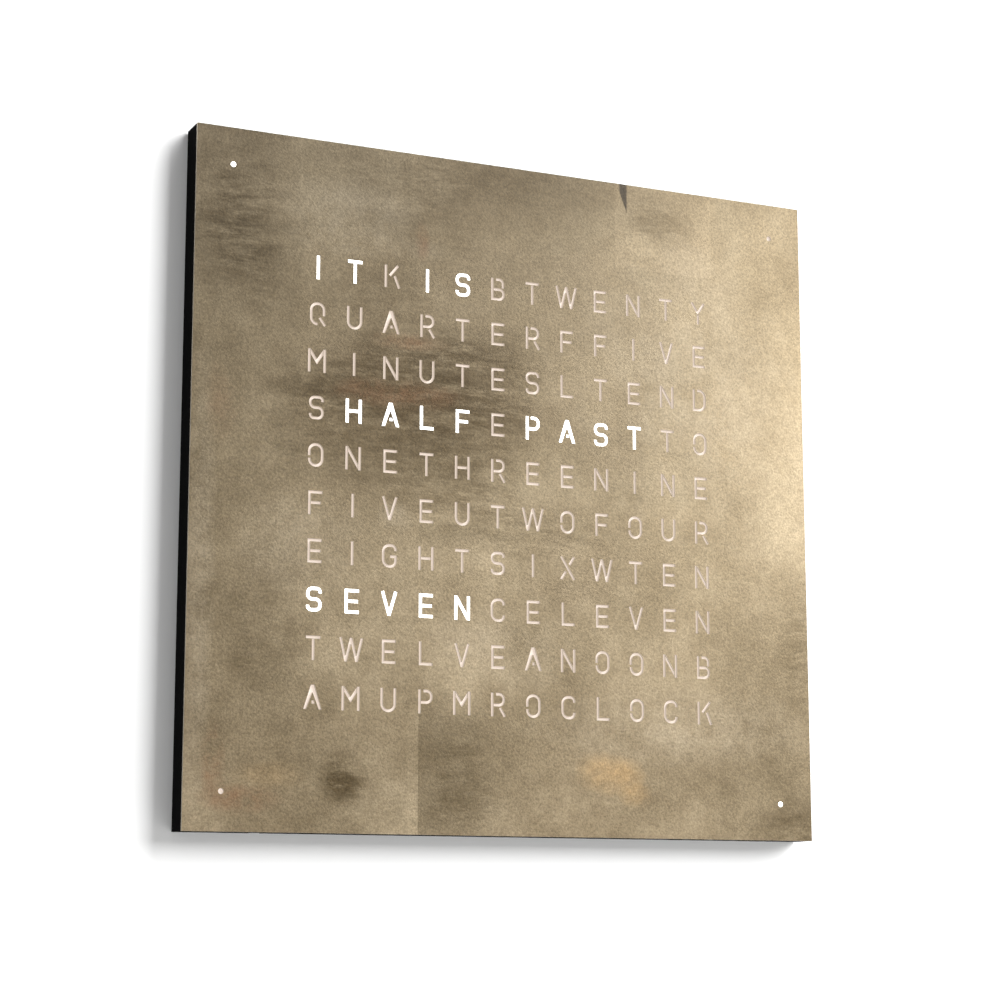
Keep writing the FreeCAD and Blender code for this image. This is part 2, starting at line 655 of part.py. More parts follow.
# The light engine: an egg-crate of drafted cells on the letter board
def make_light_grid():
    body = new_body("light_grid")
    length = "ear_reach + ear_tip"
    ears = new_sketch(body, "ears", BOARD_FRONT)
    for sign in (-1, 1):
        middle = f"{sign} * ({GRID_HALF_WIDTH} + ({length}) / 2)"
        for step in (-1, 0, 1):
            rectangle(ears, middle, f"letters_rise + {step} * ear_station", length, "ear_width")
    for across, up in SIGNS:
        middle = f"letters_rise + {up} * ({GRID_HALF_HEIGHT} + ({length}) / 2)"
        rectangle(ears, f"{across} * end_ear_station", middle, "ear_width", length)
    pad(ears, "ear_thick")
    block = new_sketch(body, "block", BOARD_FRONT)
    width = f"2 * {GRID_HALF_WIDTH} + cell_wall"
    height = f"2 * {GRID_HALF_HEIGHT} + cell_wall"
    rectangle(block, "0", "letters_rise", width, height)
    pad(block, f"{FILM_BACK} - film_gap - ({BOARD_FRONT})")
    holes(
        body, "ear_holes", f"{BOARD_FRONT} + ear_thick", EARS, "screw_radius + screw_clearance",
        "ear_thick",
    )
    cell = new_sketch(body, "cell", f"{FILM_BACK} - film_gap")
    rectangle(
        cell, f"{COLUMN_PITCH} / 2 - {GRID_HALF_WIDTH}",
        f"letters_rise + {ROW_PITCH} / 2 - {GRID_HALF_HEIGHT}", f"{COLUMN_PITCH} - cell_wall",
        f"{ROW_PITCH} - cell_wall",
    )
    first = pocket(cell, f"{FILM_BACK} - film_gap - ({BOARD_FRONT})", draft="-cell_draft")
    repeat(first, "column_count", COLUMN_PITCH, "row_count", ROW_PITCH)


def make_led_board():
    width = f"2 * {GRID_HALF_WIDTH} + 2 * board_margin"
    height = f"2 * {GRID_HALF_HEIGHT} + 2 * board_margin"
    body = plate("led_board", "board_level", "0", "letters_rise", width, height, "board_thick")
    holes(body, "holes", BOARD_FRONT, EARS, "screw_radius + screw_clearance", "board_thick")


def make_letter_leds():
    body = new_body("letter_leds")
    first = new_sketch(body, "first", BOARD_FRONT)
    rectangle(
        first, f"{COLUMN_PITCH} / 2 - {GRID_HALF_WIDTH}",
        f"letters_rise + {ROW_PITCH} / 2 - {GRID_HALF_HEIGHT}", "led_side", "led_side",
    )
    grown = pad(first, "led_thick")
    repeat(grown, "column_count", COLUMN_PITCH, "row_count", ROW_PITCH)


def make_driver_chips():
    body = new_body("driver_chips")
    chips = new_sketch(body, "chips", BOARD_FRONT)
    for side in (-1, 1):
        for step in ("-chip_outer", "-chip_inner", "chip_inner", "chip_outer"):
            across = f"{side} * ({GRID_HALF_WIDTH} + ear_reach)"
            rectangle(chips, across, f"letters_rise + {step}", "chip_width", "chip_length")
    pad(chips, "chip_thick")


def make_screws(name, groups):
    """One node of like screws; each group is a head level, its places and a length."""
    body = new_body(name)
    for number, (level, middles, length) in enumerate(groups):
        bars(body, f"shanks_{number}", f"{level} - ({length})", middles, "screw_radius", length)
        bars(body, f"heads_{number}", level, middles, "head_radius", "head_thick")


def make_corner_lights():
    boards = new_body("corner_boards")
    bars(boards, "outlines", "board_level", DOTS, "corner_side", "board_thick", draw=squares)
    holes(
        boards, "holes", BOARD_FRONT, CORNER_SCREWS, "screw_radius + screw_clearance", "board_thick"
    )
    leds = new_body("corner_leds")
    bars(leds, "chips", BOARD_FRONT, DOTS, "led_side", "led_thick", draw=squares)
    cups = new_body("corner_light_cups")
    front = f"{FILM_BACK} - film_gap"
    length = f"{front} - ({BOARD_FRONT})"
    bars(cups, "feet", BOARD_FRONT, DOTS, "cup_foot_side", "cup_foot_thick", draw=squares)
    bars(cups, "tubes", BOARD_FRONT, DOTS, "cup_side", length, draw=squares)
    holes(cups, "bores", front, DOTS, "cup_bore", length, draw=squares)


# The control board and what is soldered on it
def make_control_board():
    body = plate(
        "control_board", "low_level", CONTROL_MIDDLE, CONTROL_UP, "control_width",
        "control_height", "board_thick",
    )
    holes(
        body, "holes", LOW_FRONT, CONTROL_SCREWS, "screw_radius + screw_clearance", "board_thick"
    )


# name, place across and up from the board's middle, width, height, thickness
CONTROL_PARTS = (
    ("microcontroller", "0", "0", "processor_side", "processor_side", "processor_thick"),
    ("clock_chip", "-18", "-11", "clock_chip_width", "clock_chip_height", "clock_chip_thick"),
    ("timing_crystal", "0", "-12", "crystal_width", "crystal_height", "crystal_thick"),
    ("power_coil", "-37", "-5", "choke_side", "choke_side", "choke_thick"),
    (
        "power_header", "header_inset - control_width / 2", "-1", "header_width",
        "header_height", "header_thick",
    ),
)
CAN_PLACES = (("-38", "12"), ("-26", "12"))
CELL_PLACE = ("33", "0")


def on_control(across, up):
    """A place on the control board, from its middle."""
    return f"({CONTROL_MIDDLE} + {across})", f"({CONTROL_UP} + {up})"


def make_control_parts():
    for name, across, up, width, height, thick in CONTROL_PARTS:
        plate(name, LOW_FRONT, *on_control(across, up), width, height, thick)
    cans = new_body("power_capacitors")
    middles = [on_control(*place_there) for place_there in CAN_PLACES]
    bars(cans, "cans", LOW_FRONT, middles, "can_radius", "can_height", draw=circles)
    make_coin_cell(on_control(*CELL_PLACE))


def make_coin_cell(middle):
    holder = plate(
        "coin_cell_holder", LOW_FRONT, *middle, "holder_side", "holder_side", "cell_holder_thick"
    )
    holes(
        holder, "bore", f"{LOW_FRONT} + cell_holder_thick", [middle],
        "cell_radius + seat_clearance", "cell_holder_thick - holder_floor", draw=circles,
    )
    cell = new_body("coin_cell")
    level = f"{LOW_FRONT} + holder_floor"
    bars(cell, "disc", level, [middle], "cell_radius", "cell_thick", draw=circles)


def make_ribbon():
    inset = "connector_height / 2 + connector_inset"
    upper = f"letters_rise - {GRID_HALF_HEIGHT} - board_margin + {inset}"
    lower = f"{CONTROL_UP} + control_height / 2 - ({inset})"
    body = new_body("ribbon_connectors")
    for name, level, up in (("upper", BOARD_FRONT, upper), ("lower", LOW_FRONT, lower)):
        sketch = new_sketch(body, name, level)
        rectangle(sketch, CONTROL_MIDDLE, up, "connector_width", "connector_height")
        pad(sketch, "connector_thick")
    cable = new_body("ribbon_cable")
    high_level = f"-({BOARD_FRONT} + connector_thick / 2)"
    low_level = f"-({LOW_FRONT} + connector_thick / 2)"
    start = f"{upper} - connector_height / 2"
    end = f"{lower} + connector_height / 2"
    side = new_sketch(cable, "side", f"{CONTROL_MIDDLE} - ribbon_width / 2", "YZ_Plane")
    outline(
        side,
        [
            (high_level, start),
            (high_level, f"{start} - ribbon_straight"),
            (low_level, f"{end} + ribbon_straight"),
            (low_level, end),
            (f"{low_level} - ribbon_thick", end),
            (f"{low_level} - ribbon_thick", f"{end} + ribbon_straight"),
            (f"{high_level} - ribbon_thick", f"{start} - ribbon_straight"),
            (f"{high_level} - ribbon_thick", start),
        ],
    )
    pad(side, "ribbon_width")


# Power inlet in the recess of the casing's back
def make_power_socket():
    body = new_body("power_socket")
    nose = new_sketch(body, "nose", RECESS_RIGHT, "YZ_Plane")
    circles(nose, [("-socket_level", RECESS_UP)], "socket_nose")
    pad(nose, "recess_shell")
    block = new_sketch(body, "block", f"{RECESS_RIGHT} + recess_shell", "YZ_Plane")
    rectangle(block, "-socket_level", RECESS_UP, "socket_thick", "socket_width")
    pad(block, "socket_length")
    bore = new_sketch(body, "bore", RECESS_RIGHT, "YZ_Plane")
    circles(bore, [("-socket_level", RECESS_UP)], "socket_bore")
    pocket(bore, "socket_bore_depth", outwards=True)
    pin = new_body("socket_pin")
    contact = new_sketch(
        pin, "contact", f"{RECESS_RIGHT} + socket_bore_depth - socket_pin_length", "YZ_Plane"
    )
    hexagons(contact, [("-socket_level", RECESS_UP)], "socket_pin_radius")
    pad(contact, "socket_pin_length")


# Time-signal receiver: a ferrite rod aerial and its board on the left
def make_radio():
    rod = new_body("ferrite_rod")
    bar = new_sketch(rod, "bar", "-rod_length / 2", "XY_Plane")
    circles(bar, [(ROD_ACROSS, "-rod_level")], "rod_radius")
    pad(bar, "rod_length")
    coil = new_body("antenna_coil")
    winding = new_sketch(coil, "winding", "-coil_length / 2", "XY_Plane")
    circles(winding, [(ROD_ACROSS, "-rod_level")], "coil_radius")
    circles(winding, [(ROD_ACROSS, "-rod_level")], "rod_radius + seat_clearance")
    pad(winding, "coil_length")
    holders = new_body("rod_holders")
    blocks = new_sketch(holders, "blocks", FLOOR)
    for sign in (-1, 1):
        rectangle(blocks, ROD_ACROSS, f"{sign} * holder_station", "holder_width", "holder_height")
    pad(blocks, "holder_thick")
    bore = new_sketch(holders, "bore", "-rod_length / 2", "XY_Plane")
    circles(bore, [(ROD_ACROSS, "-rod_level")], "rod_radius + seat_clearance")
    pocket(bore, "rod_length", outwards=True)
    board = plate(
        "radio_board", "low_level", RADIO_ACROSS, "0", "radio_width", "radio_height", "board_thick"
    )
    holes(board, "holes", LOW_FRONT, RADIO_SCREWS, "screw_radius + screw_clearance", "board_thick")
    plate(
        "radio_chip", LOW_FRONT, RADIO_ACROSS, "0", "radio_chip_width", "radio_chip_height",
        "radio_chip_thick",
    )


# Light sensor behind a window in the top wall
def make_light_sensor():
    board_up = "face_height / 2 - sensor_board_drop - board_thick"
    board = new_body("sensor_board")
    sketch = new_sketch(board, "outline", board_up, "XY_Plane")
    rectangle(sketch, SENSOR_ACROSS, "-sensor_level", "sensor_board_width", "sensor_board_height")
    pad(sketch, "board_thick")
    sensor = new_body("light_sensor")
    chip = new_sketch(sensor, "chip", "face_height / 2 - sensor_board_drop", "XY_Plane")
    rectangle(chip, SENSOR_ACROSS, "-sensor_level", "sensor_side", "sensor_side")
    pad(chip, "sensor_thick")
    window = new_body("sensor_window")
    profile = new_sketch(window, "profile")
    outline(
        profile,
        [
            ("0", "0"),
            ("0", "-side_wall - window_flange_thick"),
            ("window_flange", "-side_wall - window_flange_thick"),
            ("window_flange", "-side_wall"),
            ("window_radius", "-side_wall"),
            ("window_radius", "0"),
        ],
    )
    turn(profile)
    place(window, SENSOR_ACROSS, "sensor_level", TOP_SIDE)


# Setting buttons on the underside, each with its switch plunger
def make_button(name, across):
    body = new_body(f"{name}_button")
    middle = (across, "-button_level")
    behind = "side_wall + button_clearance"
    cap = new_sketch(body, "cap", UNDERSIDE, "XY_Plane")
    circles(cap, [middle], "button_radius")
    pad(cap, behind)
    flange = new_sketch(body, "flange", f"{UNDERSIDE} + {behind}", "XY_Plane")
    rectangle(flange, *middle, "flange_width", "flange_height")
    pad(flange, "flange_thick")
    stem_foot = f"{behind} + flange_thick"
    stem = new_sketch(body, "stem", f"{UNDERSIDE} + {stem_foot}", "XY_Plane")
    rectangle(stem, *middle, "stem_side", "stem_side")
    pad(stem, f"button_reach - ({stem_foot})")
    plunger = new_body(f"{name}_plunger")
    bar = new_sketch(plunger, "bar", f"{UNDERSIDE} + button_reach", "XY_Plane")
    hexagons(bar, [middle], "plunger_radius")
    pad(bar, "plunger_length")


def make_switches():
    board = plate(
        "button_board", SWITCH_BOARD_LEVEL, BUTTON_BOARD_MIDDLE, BUTTON_BOARD_UP,
        "3 * button_pitch + 2 * button_board_side", "button_board_height", "board_thick",
    )
    front = f"{SWITCH_BOARD_LEVEL} + board_thick"
    holes(board, "holes", front, BUTTON_SCREWS, "screw_radius + screw_clearance", "board_thick")
    bodies = new_body("switch_bodies")
    blocks = new_sketch(bodies, "blocks", front)
    for across in BUTTONS:
        rectangle(
            blocks, across, f"{SWITCH_FOOT} + switch_height / 2", "switch_width", "switch_height"
        )
    pad(blocks, "switch_thick")
    bores = new_sketch(bodies, "bores", SWITCH_FOOT, "XY_Plane")
    middles = [(across, "-button_level") for across in BUTTONS]
    hexagons(bores, middles, "plunger_radius + button_clearance")
    pocket(bores, "plunger_bore", outwards=True)


# Keyhole hangers let into the casing's back
def make_hangers():
    body = new_body("keyhole_plates")
    plates = new_sketch(body, "plates")
    for across, up in HANGERS:
        rectangle(plates, across, up, "hanger_width", "hanger_height")
    pad(plates, "hanger_thick")
    entries = [(across, f"{up} - keyhole_drop") for across, up in HANGERS]
    ends = [(across, f"{up} + keyhole_top") for across, up in HANGERS]
    thick = "hanger_thick"
    holes(body, "entries", thick, entries, "keyhole_entry", thick, draw=circles)
    holes(body, "slot_ends", thick, ends, "keyhole_slot", thick, draw=circles)
    slots = new_sketch(body, "slots", "hanger_thick")
    for across, up in HANGERS:
        rectangle(
            slots, across, f"{up} + (keyhole_top - keyhole_drop) / 2", "2 * keyhole_slot",
            "keyhole_top + keyhole_drop",
        )
    pocket(slots, "hanger_thick")
    holes(
        body, "screw_holes", "hanger_thick", HANGER_SCREWS, "screw_radius + screw_clearance",
        "hanger_thick",
    )
    holes(
        body, "head_seats", "0", HANGER_SCREWS, "head_radius + screw_clearance",
        "hanger_head_thick", outwards=True,
    )
    screws = new_body("hanger_screws")
    bars(screws, "heads", "0", HANGER_SCREWS, "head_radius", "hanger_head_thick")
    bars(
        screws, "shanks", "hanger_head_thick", HANGER_SCREWS, "screw_radius",
        "hanger_screw_length - hanger_head_thick",
    )


# Leads: round tubes of straight runs and tangent arcs, (across, level, up) points
def lead_path(points):
    places = [FreeCAD.Vector(size(x), -size(level), size(z)) for x, level, z in points]
    edges = []
    start = places[0]
    radii = []
    for before, corner, after in zip(places, places[1:], places[2:]):
        back = (before - corner).normalize()
        ahead = (after - corner).normalize()
        half_turn = (math.pi - back.getAngle(ahead)) / 2
        reach = 0.45 * min((before - corner).Length, (after - corner).Length)
        entry = corner + back * reach
        leave = corner + ahead * reach
        radius = reach / math.tan(half_turn)
        radii.append(round(radius, 1))
        middle_way = (back + ahead).normalize()
        to_centre = math.hypot(reach, radius)
        crown = corner + middle_way * (to_centre - radius)
        edges.append(Part.LineSegment(start, entry).toShape())
        edges.append(Part.Arc(entry, crown, leave).toShape())
        start = leave
    edges.append(Part.LineSegment(start, places[-1]).toShape())
    return Part.Wire(edges), radii


def lead(points, radius):
    """A six-sided tube; the radius is to a flat side."""
    path, radii = lead_path(points)
    first = path.Vertexes[0].Point
    along = path.Edges[0].tangentAt(path.Edges[0].FirstParameter)
    flat = size(radius)
    side = along.cross(FreeCAD.Vector(0, 1, 0)).normalize() * flat
    upright = along.cross(side).normalize() * flat
    half_side = math.tan(math.pi / 6)
    corners = [
        first + side * (part / math.cos(math.pi / 6)) + upright * rise
        for part, rise in ((1, 0), (0.5, 1), (-0.5, 1), (-1, 0), (-0.5, -1), (0.5, -1), (1, 0))
    ]
    tube = path.makePipeShell([Part.makePolygon(corners)], True, False)
    expected = 6 * half_side * flat**2 * path.Length
    if abs(tube.Volume / expected - 1) > 0.01:
        raise RuntimeError("a lead's tube differs from its path")
    print("lead arcs", radii)
    return tube


def make_leads(name, routes, radius):
    tubes = [lead(points, radius) for points in routes]
    piece = document.addObject("Part::Feature", name)
    piece.Label = name
    piece.Shape = tubes[0] if len(tubes) == 1 else Part.makeCompound(tubes)


def make_all_leads():
    mid_board = "board_level + board_thick / 2"
    low_board = "low_level + board_thick / 2"
    side = f"({GRID_HALF_WIDTH} + board_margin)"
    corner_across = f"({DOT_ACROSS} - corner_side / 4)"
    corner_up = f"({DOT_UP} - corner_side / 2)"
    routes = [
        [
            (f"{across} * {side}", mid_board, f"{up} * ({corner_up} - 50)"),
            (f"{across} * {corner_across}", mid_board, f"{up} * ({corner_up} - 50)"),
            (f"{across} * {corner_across}", mid_board, f"{up} * {corner_up}"),
        ]
        for across, up in SIGNS
    ]
    make_leads("corner_leads", routes, "lead_radius")
    floor = "back_wall + lead_radius"
    radio_foot = "-radio_height / 2"
    control_top = f"{CONTROL_UP} + control_height / 2"
    aerial = [
        (f"{RADIO_ACROSS} + 5.5", low_board, radio_foot),
        (f"{RADIO_ACROSS} + 5.5", low_board, f"{radio_foot} - 6"),
        (f"{RADIO_ACROSS} + 5.5", floor, f"{radio_foot} - 24"),
        (f"{RADIO_ACROSS} + 5.5", floor, f"{control_top} - 1.5"),
        (f"{CONTROL_LEFT} - 11", floor, f"{control_top} - 1.5"),
        (f"{CONTROL_LEFT} - 7", low_board, f"{control_top} - 10"),
        (CONTROL_LEFT, low_board, f"{control_top} - 10"),
    ]
    make_leads("antenna_lead", [aerial], "lead_radius")
    sensor_foot = "face_height / 2 - sensor_board_drop - board_thick"
    board_top = f"letters_rise + {GRID_HALF_HEIGHT} + board_margin"
    sensing = [
        (SENSOR_ACROSS, "sensor_level", sensor_foot),
        (SENSOR_ACROSS, "sensor_level", f"{sensor_foot} - 12"),
        (f"{SENSOR_ACROSS} - 8", mid_board, f"{board_top} + 12"),
        (f"{SENSOR_ACROSS} - 8", mid_board, board_top),
    ]
    make_leads("sensor_lead", [sensing], "lead_radius")
    control_right = f"{CONTROL_LEFT} + control_width"
    button_left = f"{BUTTON_BOARD_MIDDLE} - 1.5 * button_pitch - button_board_side"
    switch_board = f"{SWITCH_BOARD_LEVEL} + board_thick / 2"
    setting = [
        (control_right, low_board, CONTROL_UP),
        (f"{control_right} + 12", low_board, CONTROL_UP),
        (f"{button_left} - 12", switch_board, f"{BUTTON_BOARD_UP} + 4"),
        (button_left, switch_board, f"{BUTTON_BOARD_UP} + 4"),
    ]
    make_leads("button_lead", [setting], "lead_radius")
    header_left = f"{CONTROL_LEFT} + header_inset - header_width / 2"
    entry = f"{LOW_FRONT} + header_thick * 2 / 3"
    feeds = []
    for sign in (-1, 1):
        socket_up = f"{RECESS_UP} + {sign} * 2"
        feeds.append(
            [
                (SOCKET_BACK, "socket_level + 2", socket_up),
                (f"{SOCKET_BACK} + 5", "socket_level + 2", socket_up),
                (f"{header_left} - 5", entry, socket_up),
                (header_left, entry, socket_up),
            ]
        )
    make_leads("power_leads", feeds, "power_lead_radius")


make_front_plate()
make_diffuser_sheet()
make_plate_studs()
make_casing()
make_plate_magnets()
make_light_grid()
make_led_board()
make_letter_leds()
make_driver_chips()
make_screws(
    "grid_screws", [(f"{BOARD_FRONT} + ear_thick", EARS, "ear_thick + board_thick + screw_bite")]
)
make_corner_lights()
make_control_board()
make_control_parts()
make_ribbon()
make_power_socket()
make_radio()
make_light_sensor()
for number, name in enumerate(("mode", "hour", "minute", "dimmer")):
    make_button(name, BUTTONS[number])
make_switches()
make_hangers()
SMALL_LENGTH = "board_thick + small_bite"
make_screws(
    "board_screws",
    [
        (BOARD_FRONT, CORNER_SCREWS, SMALL_LENGTH),
        (LOW_FRONT, CONTROL_SCREWS + RADIO_SCREWS, SMALL_LENGTH),
        (f"{SWITCH_BOARD_LEVEL} + board_thick", BUTTON_SCREWS, SMALL_LENGTH),
    ],
)
make_all_leads()
document.recompute()

for thing in document.Objects:
    if "Invalid" in thing.State or "Error" in thing.State:
        raise RuntimeError(f"{thing.Label} failed: {thing.State}")

os.makedirs("parts", exist_ok=True)
for piece in document.Objects:
    if piece.TypeId not in ("PartDesign::Body", "Part::Feature"):
        continue
    shape = piece.Shape
    if shape.isNull() or not shape.isValid():
        raise RuntimeError(f"{piece.Label} has no valid shape")
    shape.exportStep(f"parts/{piece.Label}.step")
    print(f"{piece.Label}: {len(shape.Solids)} solids, {shape.Volume:.1f} cubic mm")
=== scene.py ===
import functools
import math

import bmesh
import bpy
from mathutils import Matrix, Vector


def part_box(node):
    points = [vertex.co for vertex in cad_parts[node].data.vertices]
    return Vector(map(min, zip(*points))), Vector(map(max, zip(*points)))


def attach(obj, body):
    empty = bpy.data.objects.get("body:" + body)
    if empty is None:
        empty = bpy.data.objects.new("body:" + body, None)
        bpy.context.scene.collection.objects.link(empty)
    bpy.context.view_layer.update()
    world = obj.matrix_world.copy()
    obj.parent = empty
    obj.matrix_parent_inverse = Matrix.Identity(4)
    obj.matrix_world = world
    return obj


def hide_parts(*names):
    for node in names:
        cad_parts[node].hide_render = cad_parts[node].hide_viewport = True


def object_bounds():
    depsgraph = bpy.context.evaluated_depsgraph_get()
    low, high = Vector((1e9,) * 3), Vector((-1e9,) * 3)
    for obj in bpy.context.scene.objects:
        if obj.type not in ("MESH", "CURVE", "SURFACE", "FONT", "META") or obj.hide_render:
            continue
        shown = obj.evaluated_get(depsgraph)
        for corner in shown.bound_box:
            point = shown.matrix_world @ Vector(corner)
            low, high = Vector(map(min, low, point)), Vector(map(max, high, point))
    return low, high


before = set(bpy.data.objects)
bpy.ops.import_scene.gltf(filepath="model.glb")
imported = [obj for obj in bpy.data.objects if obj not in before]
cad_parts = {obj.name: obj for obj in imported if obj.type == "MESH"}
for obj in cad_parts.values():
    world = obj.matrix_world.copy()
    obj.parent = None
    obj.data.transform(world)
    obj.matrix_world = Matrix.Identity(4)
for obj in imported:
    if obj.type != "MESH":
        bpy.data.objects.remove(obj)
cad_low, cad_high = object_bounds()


# The camera, where it stood for the reference view: to the clock's left and a
# little below it, looking slightly up and to the right through a short tele lens.
scene = bpy.context.scene
scene.view_settings.view_transform = "Standard"
camera = bpy.data.objects.new("camera", bpy.data.cameras.new("camera"))
camera.data.sensor_width = 36.0
camera.data.lens = 85.31
camera.location = (-0.66390, -1.41906, -0.27943)
camera.rotation_euler = [math.radians(angle) for angle in (100.092, 0.02, -25.019)]
scene.collection.objects.link(camera)
scene.camera = camera


# The white wall that the clock hangs on and the pale floor far below it. The wall is
# there only from the front, so that the clock's back can be looked at and is lit.
def add_node(tree, kind, inputs=None, **settings):
    """Add a shader node to a tree; an input is a value or the socket that feeds it."""
    node = tree.nodes.new("ShaderNode" + kind)
    for name, value in settings.items():
        setattr(node, name, value)
    for name, value in (inputs or {}).items():
        socket = node.inputs[name]
        if isinstance(value, bpy.types.NodeSocket):
            tree.links.new(value, socket)
        else:
            socket.default_value = value
    return node


def nodes_of(owner):
    """Empty a material's or world's node tree; returns a short way to add nodes to it."""
    owner.use_nodes = True
    owner.node_tree.nodes.clear()
    return functools.partial(add_node, owner.node_tree)


def larger(add, first, second):
    return add("Math", {0: first, 1: second}, operation="MAXIMUM").outputs[0]


def flat_panel(name, corners):
    """One flat four-cornered face."""
    mesh = bmesh.new()
    mesh.faces.new([mesh.verts.new(corner) for corner in corners])
    data = bpy.data.meshes.new(name)
    mesh.to_mesh(data)
    mesh.free()
    panel = bpy.data.objects.new(name, data)
    scene.collection.objects.link(panel)
    return panel


WALL_GAP = 0.0006
WALL_REACH = 2.6
WALL_TOP = 2.0
FLOOR_Z = -1.4
FLOOR_REACH = 6.0
FLOOR_FRONT = -8.0
wall_y = cad_high.y + WALL_GAP
wall = flat_panel(
    "wall",
    [
        (-WALL_REACH, wall_y, FLOOR_Z), (WALL_REACH, wall_y, FLOOR_Z),
        (WALL_REACH, wall_y, WALL_TOP), (-WALL_REACH, wall_y, WALL_TOP),
    ],
)
wall_paint = bpy.data.materials.new("wall_paint")
add = nodes_of(wall_paint)
paint = add("BsdfDiffuse", {"Color": (0.96, 0.96, 0.96, 1)})
lift = add("Emission", {"Color": (1, 1, 1, 1), "Strength": 0.02})
lit_paint = add("AddShader", {0: paint.outputs[0], 1: lift.outputs[0]})
clear = add("BsdfTransparent")
path = add("LightPath")
side = add("NewGeometry")
unseen = larger(add, path.outputs["Is Shadow Ray"], path.outputs["Is Diffuse Ray"])
unseen = larger(add, unseen, side.outputs["Backfacing"])
mix = add("MixShader", {0: unseen, 1: lit_paint.outputs[0], 2: clear.outputs[0]})
add("OutputMaterial", {"Surface": mix.outputs[0]})
wall.data.materials.append(wall_paint)

floor = flat_panel(
    "floor",
    [
        (-FLOOR_REACH, FLOOR_FRONT, FLOOR_Z), (FLOOR_REACH, FLOOR_FRONT, FLOOR_Z),
        (FLOOR_REACH, FLOOR_REACH, FLOOR_Z), (-FLOOR_REACH, FLOOR_REACH, FLOOR_Z),
    ],
)
floor_paint = bpy.data.materials.new("floor_paint")
add = nodes_of(floor_paint)
paint = add("BsdfDiffuse", {"Color": (0.75, 0.75, 0.74, 1)})
add("OutputMaterial", {"Surface": paint.outputs[0]})
floor.data.materials.append(floor_paint)

# The studio's white surroundings: pure white behind the clock, dimmer where they light it.
world = bpy.data.worlds.new("studio")
scene.world = world
add = nodes_of(world)
path = add("LightPath")
level = add("MapRange", {"Value": path.outputs["Is Glossy Ray"], "To Min": 0.30, "To Max": 0.55})
seen = larger(add, path.outputs["Is Camera Ray"], level.outputs[0])
strength = larger(add, seen, path.outputs["Is Transmission Ray"])
sky = add("Background", {"Color": (1, 1, 1, 1), "Strength": strength})
add("OutputWorld", {"Surface": sky.outputs[0]})


# The lamps. One very large panel, parallel to the wall, reaches from a little right of
# the clock to far up and right of it: it draws the wide soft shadow to the left of the
# clock and below it. A smaller lamp shows the clock's back.
def soft_lamp(name, place, target, width, height, power):
    """A rectangular soft lamp that faces its target."""
    data = bpy.data.lights.new(name, "AREA")
    data.shape = "RECTANGLE"
    data.size = width
    data.size_y = height
    data.energy = power
    lamp = bpy.data.objects.new(name, data)
    lamp.location = place
    lamp.rotation_euler = (Vector(target) - Vector(place)).to_track_quat("-Z", "Y").to_euler()
    scene.collection.objects.link(lamp)


soft_lamp(
    "key_panel", place=(4.9, -3.0, 4.6), target=(4.9, 0, 4.6), width=7.4, height=8.2, power=1900
)
soft_lamp(
    "back_lamp", place=(1.3, 1.9, 1.4), target=(0, 0, 0), width=1.2, height=1.2, power=170
)


# The lettering: ten rows of twelve capitals that spell the time in words, in a plain
# stencil hand of one stroke width. A stroke is an open path with rounded turns. Letters
# are drawn in millimetres about their own middle.
ROWS = (
    "ITKISBTWENTY",
    "QUARTERFFIVE",
    "MINUTESLTEND",
    "SHALFEPASTTO",
    "ONETHREENINE",
    "FIVEUTWOFOUR",
    "EIGHTSIXWTEN",
    "SEVENCELEVEN",
    "TWELVEANOONB",
    "AMUPMROCLOCK",
)
LIT = {(0, 0), (0, 1), (0, 3), (0, 4)}
LIT |= {(3, column) for column in (1, 2, 3, 4, 6, 7, 8, 9)}
LIT |= {(7, column) for column in range(5)}
COLUMN_PITCH = 25.7
ROW_PITCH = 31.0
LETTERS_RISE = -0.75
TURN_STEP = math.radians(18)
HAIRLINE = 0.06


def stroke_path(points):
    """Walk through (across, up, turn radius) points and round each turn."""
    walk = [Vector(points[0][:2])]
    for before, corner, after in zip(points, points[1:], points[2:]):
        middle = Vector(corner[:2])
        radius = corner[2] if len(corner) > 2 else 0
        back = (Vector(before[:2]) - middle).normalized()
        ahead = (Vector(after[:2]) - middle).normalized()
        if radius == 0:
            walk.append(middle)
            continue
        opening = back.angle(ahead)
        reach = radius / math.tan(opening / 2)
        centre = middle + (back + ahead).normalized() * (radius / math.sin(opening / 2))
        start = middle + back * reach - centre
        sweep = (math.pi - opening) * (-1 if back.cross(ahead) > 0 else 1)
        steps = max(2, math.ceil(abs(sweep) / TURN_STEP))
        for step in range(steps + 1):
            spun = start.copy()
            spun.rotate(Matrix.Rotation(sweep * step / steps, 2))
            walk.append(centre + spun)
    walk.append(Vector(points[-1][:2]))
    return walk


def stroke_edge(walk, half_width):
    """The closed outline of a stroke: up one side of its path and down the other."""
    sides = ([], [])
    ways = [(b - a).normalized() for a, b in zip(walk, walk[1:])]
    for number, point in enumerate(walk):
        near = ways[max(0, number - 1)]
        far = ways[min(len(ways) - 1, number)]
        for side_number, sign in enumerate((1, -1)):
            first = Vector((-near.y, near.x)) * sign * half_width
            second = Vector((-far.y, far.x)) * sign * half_width
            shared = 1 + near.dot(far)
            outside = near.cross(far) * sign < 0
            if outside and shared < 0.5:
                sides[side_number].extend((point + first, point + second))
            else:
                sides[side_number].append(point + (first + second) / shared)
    return sides[0] + sides[1][::-1]


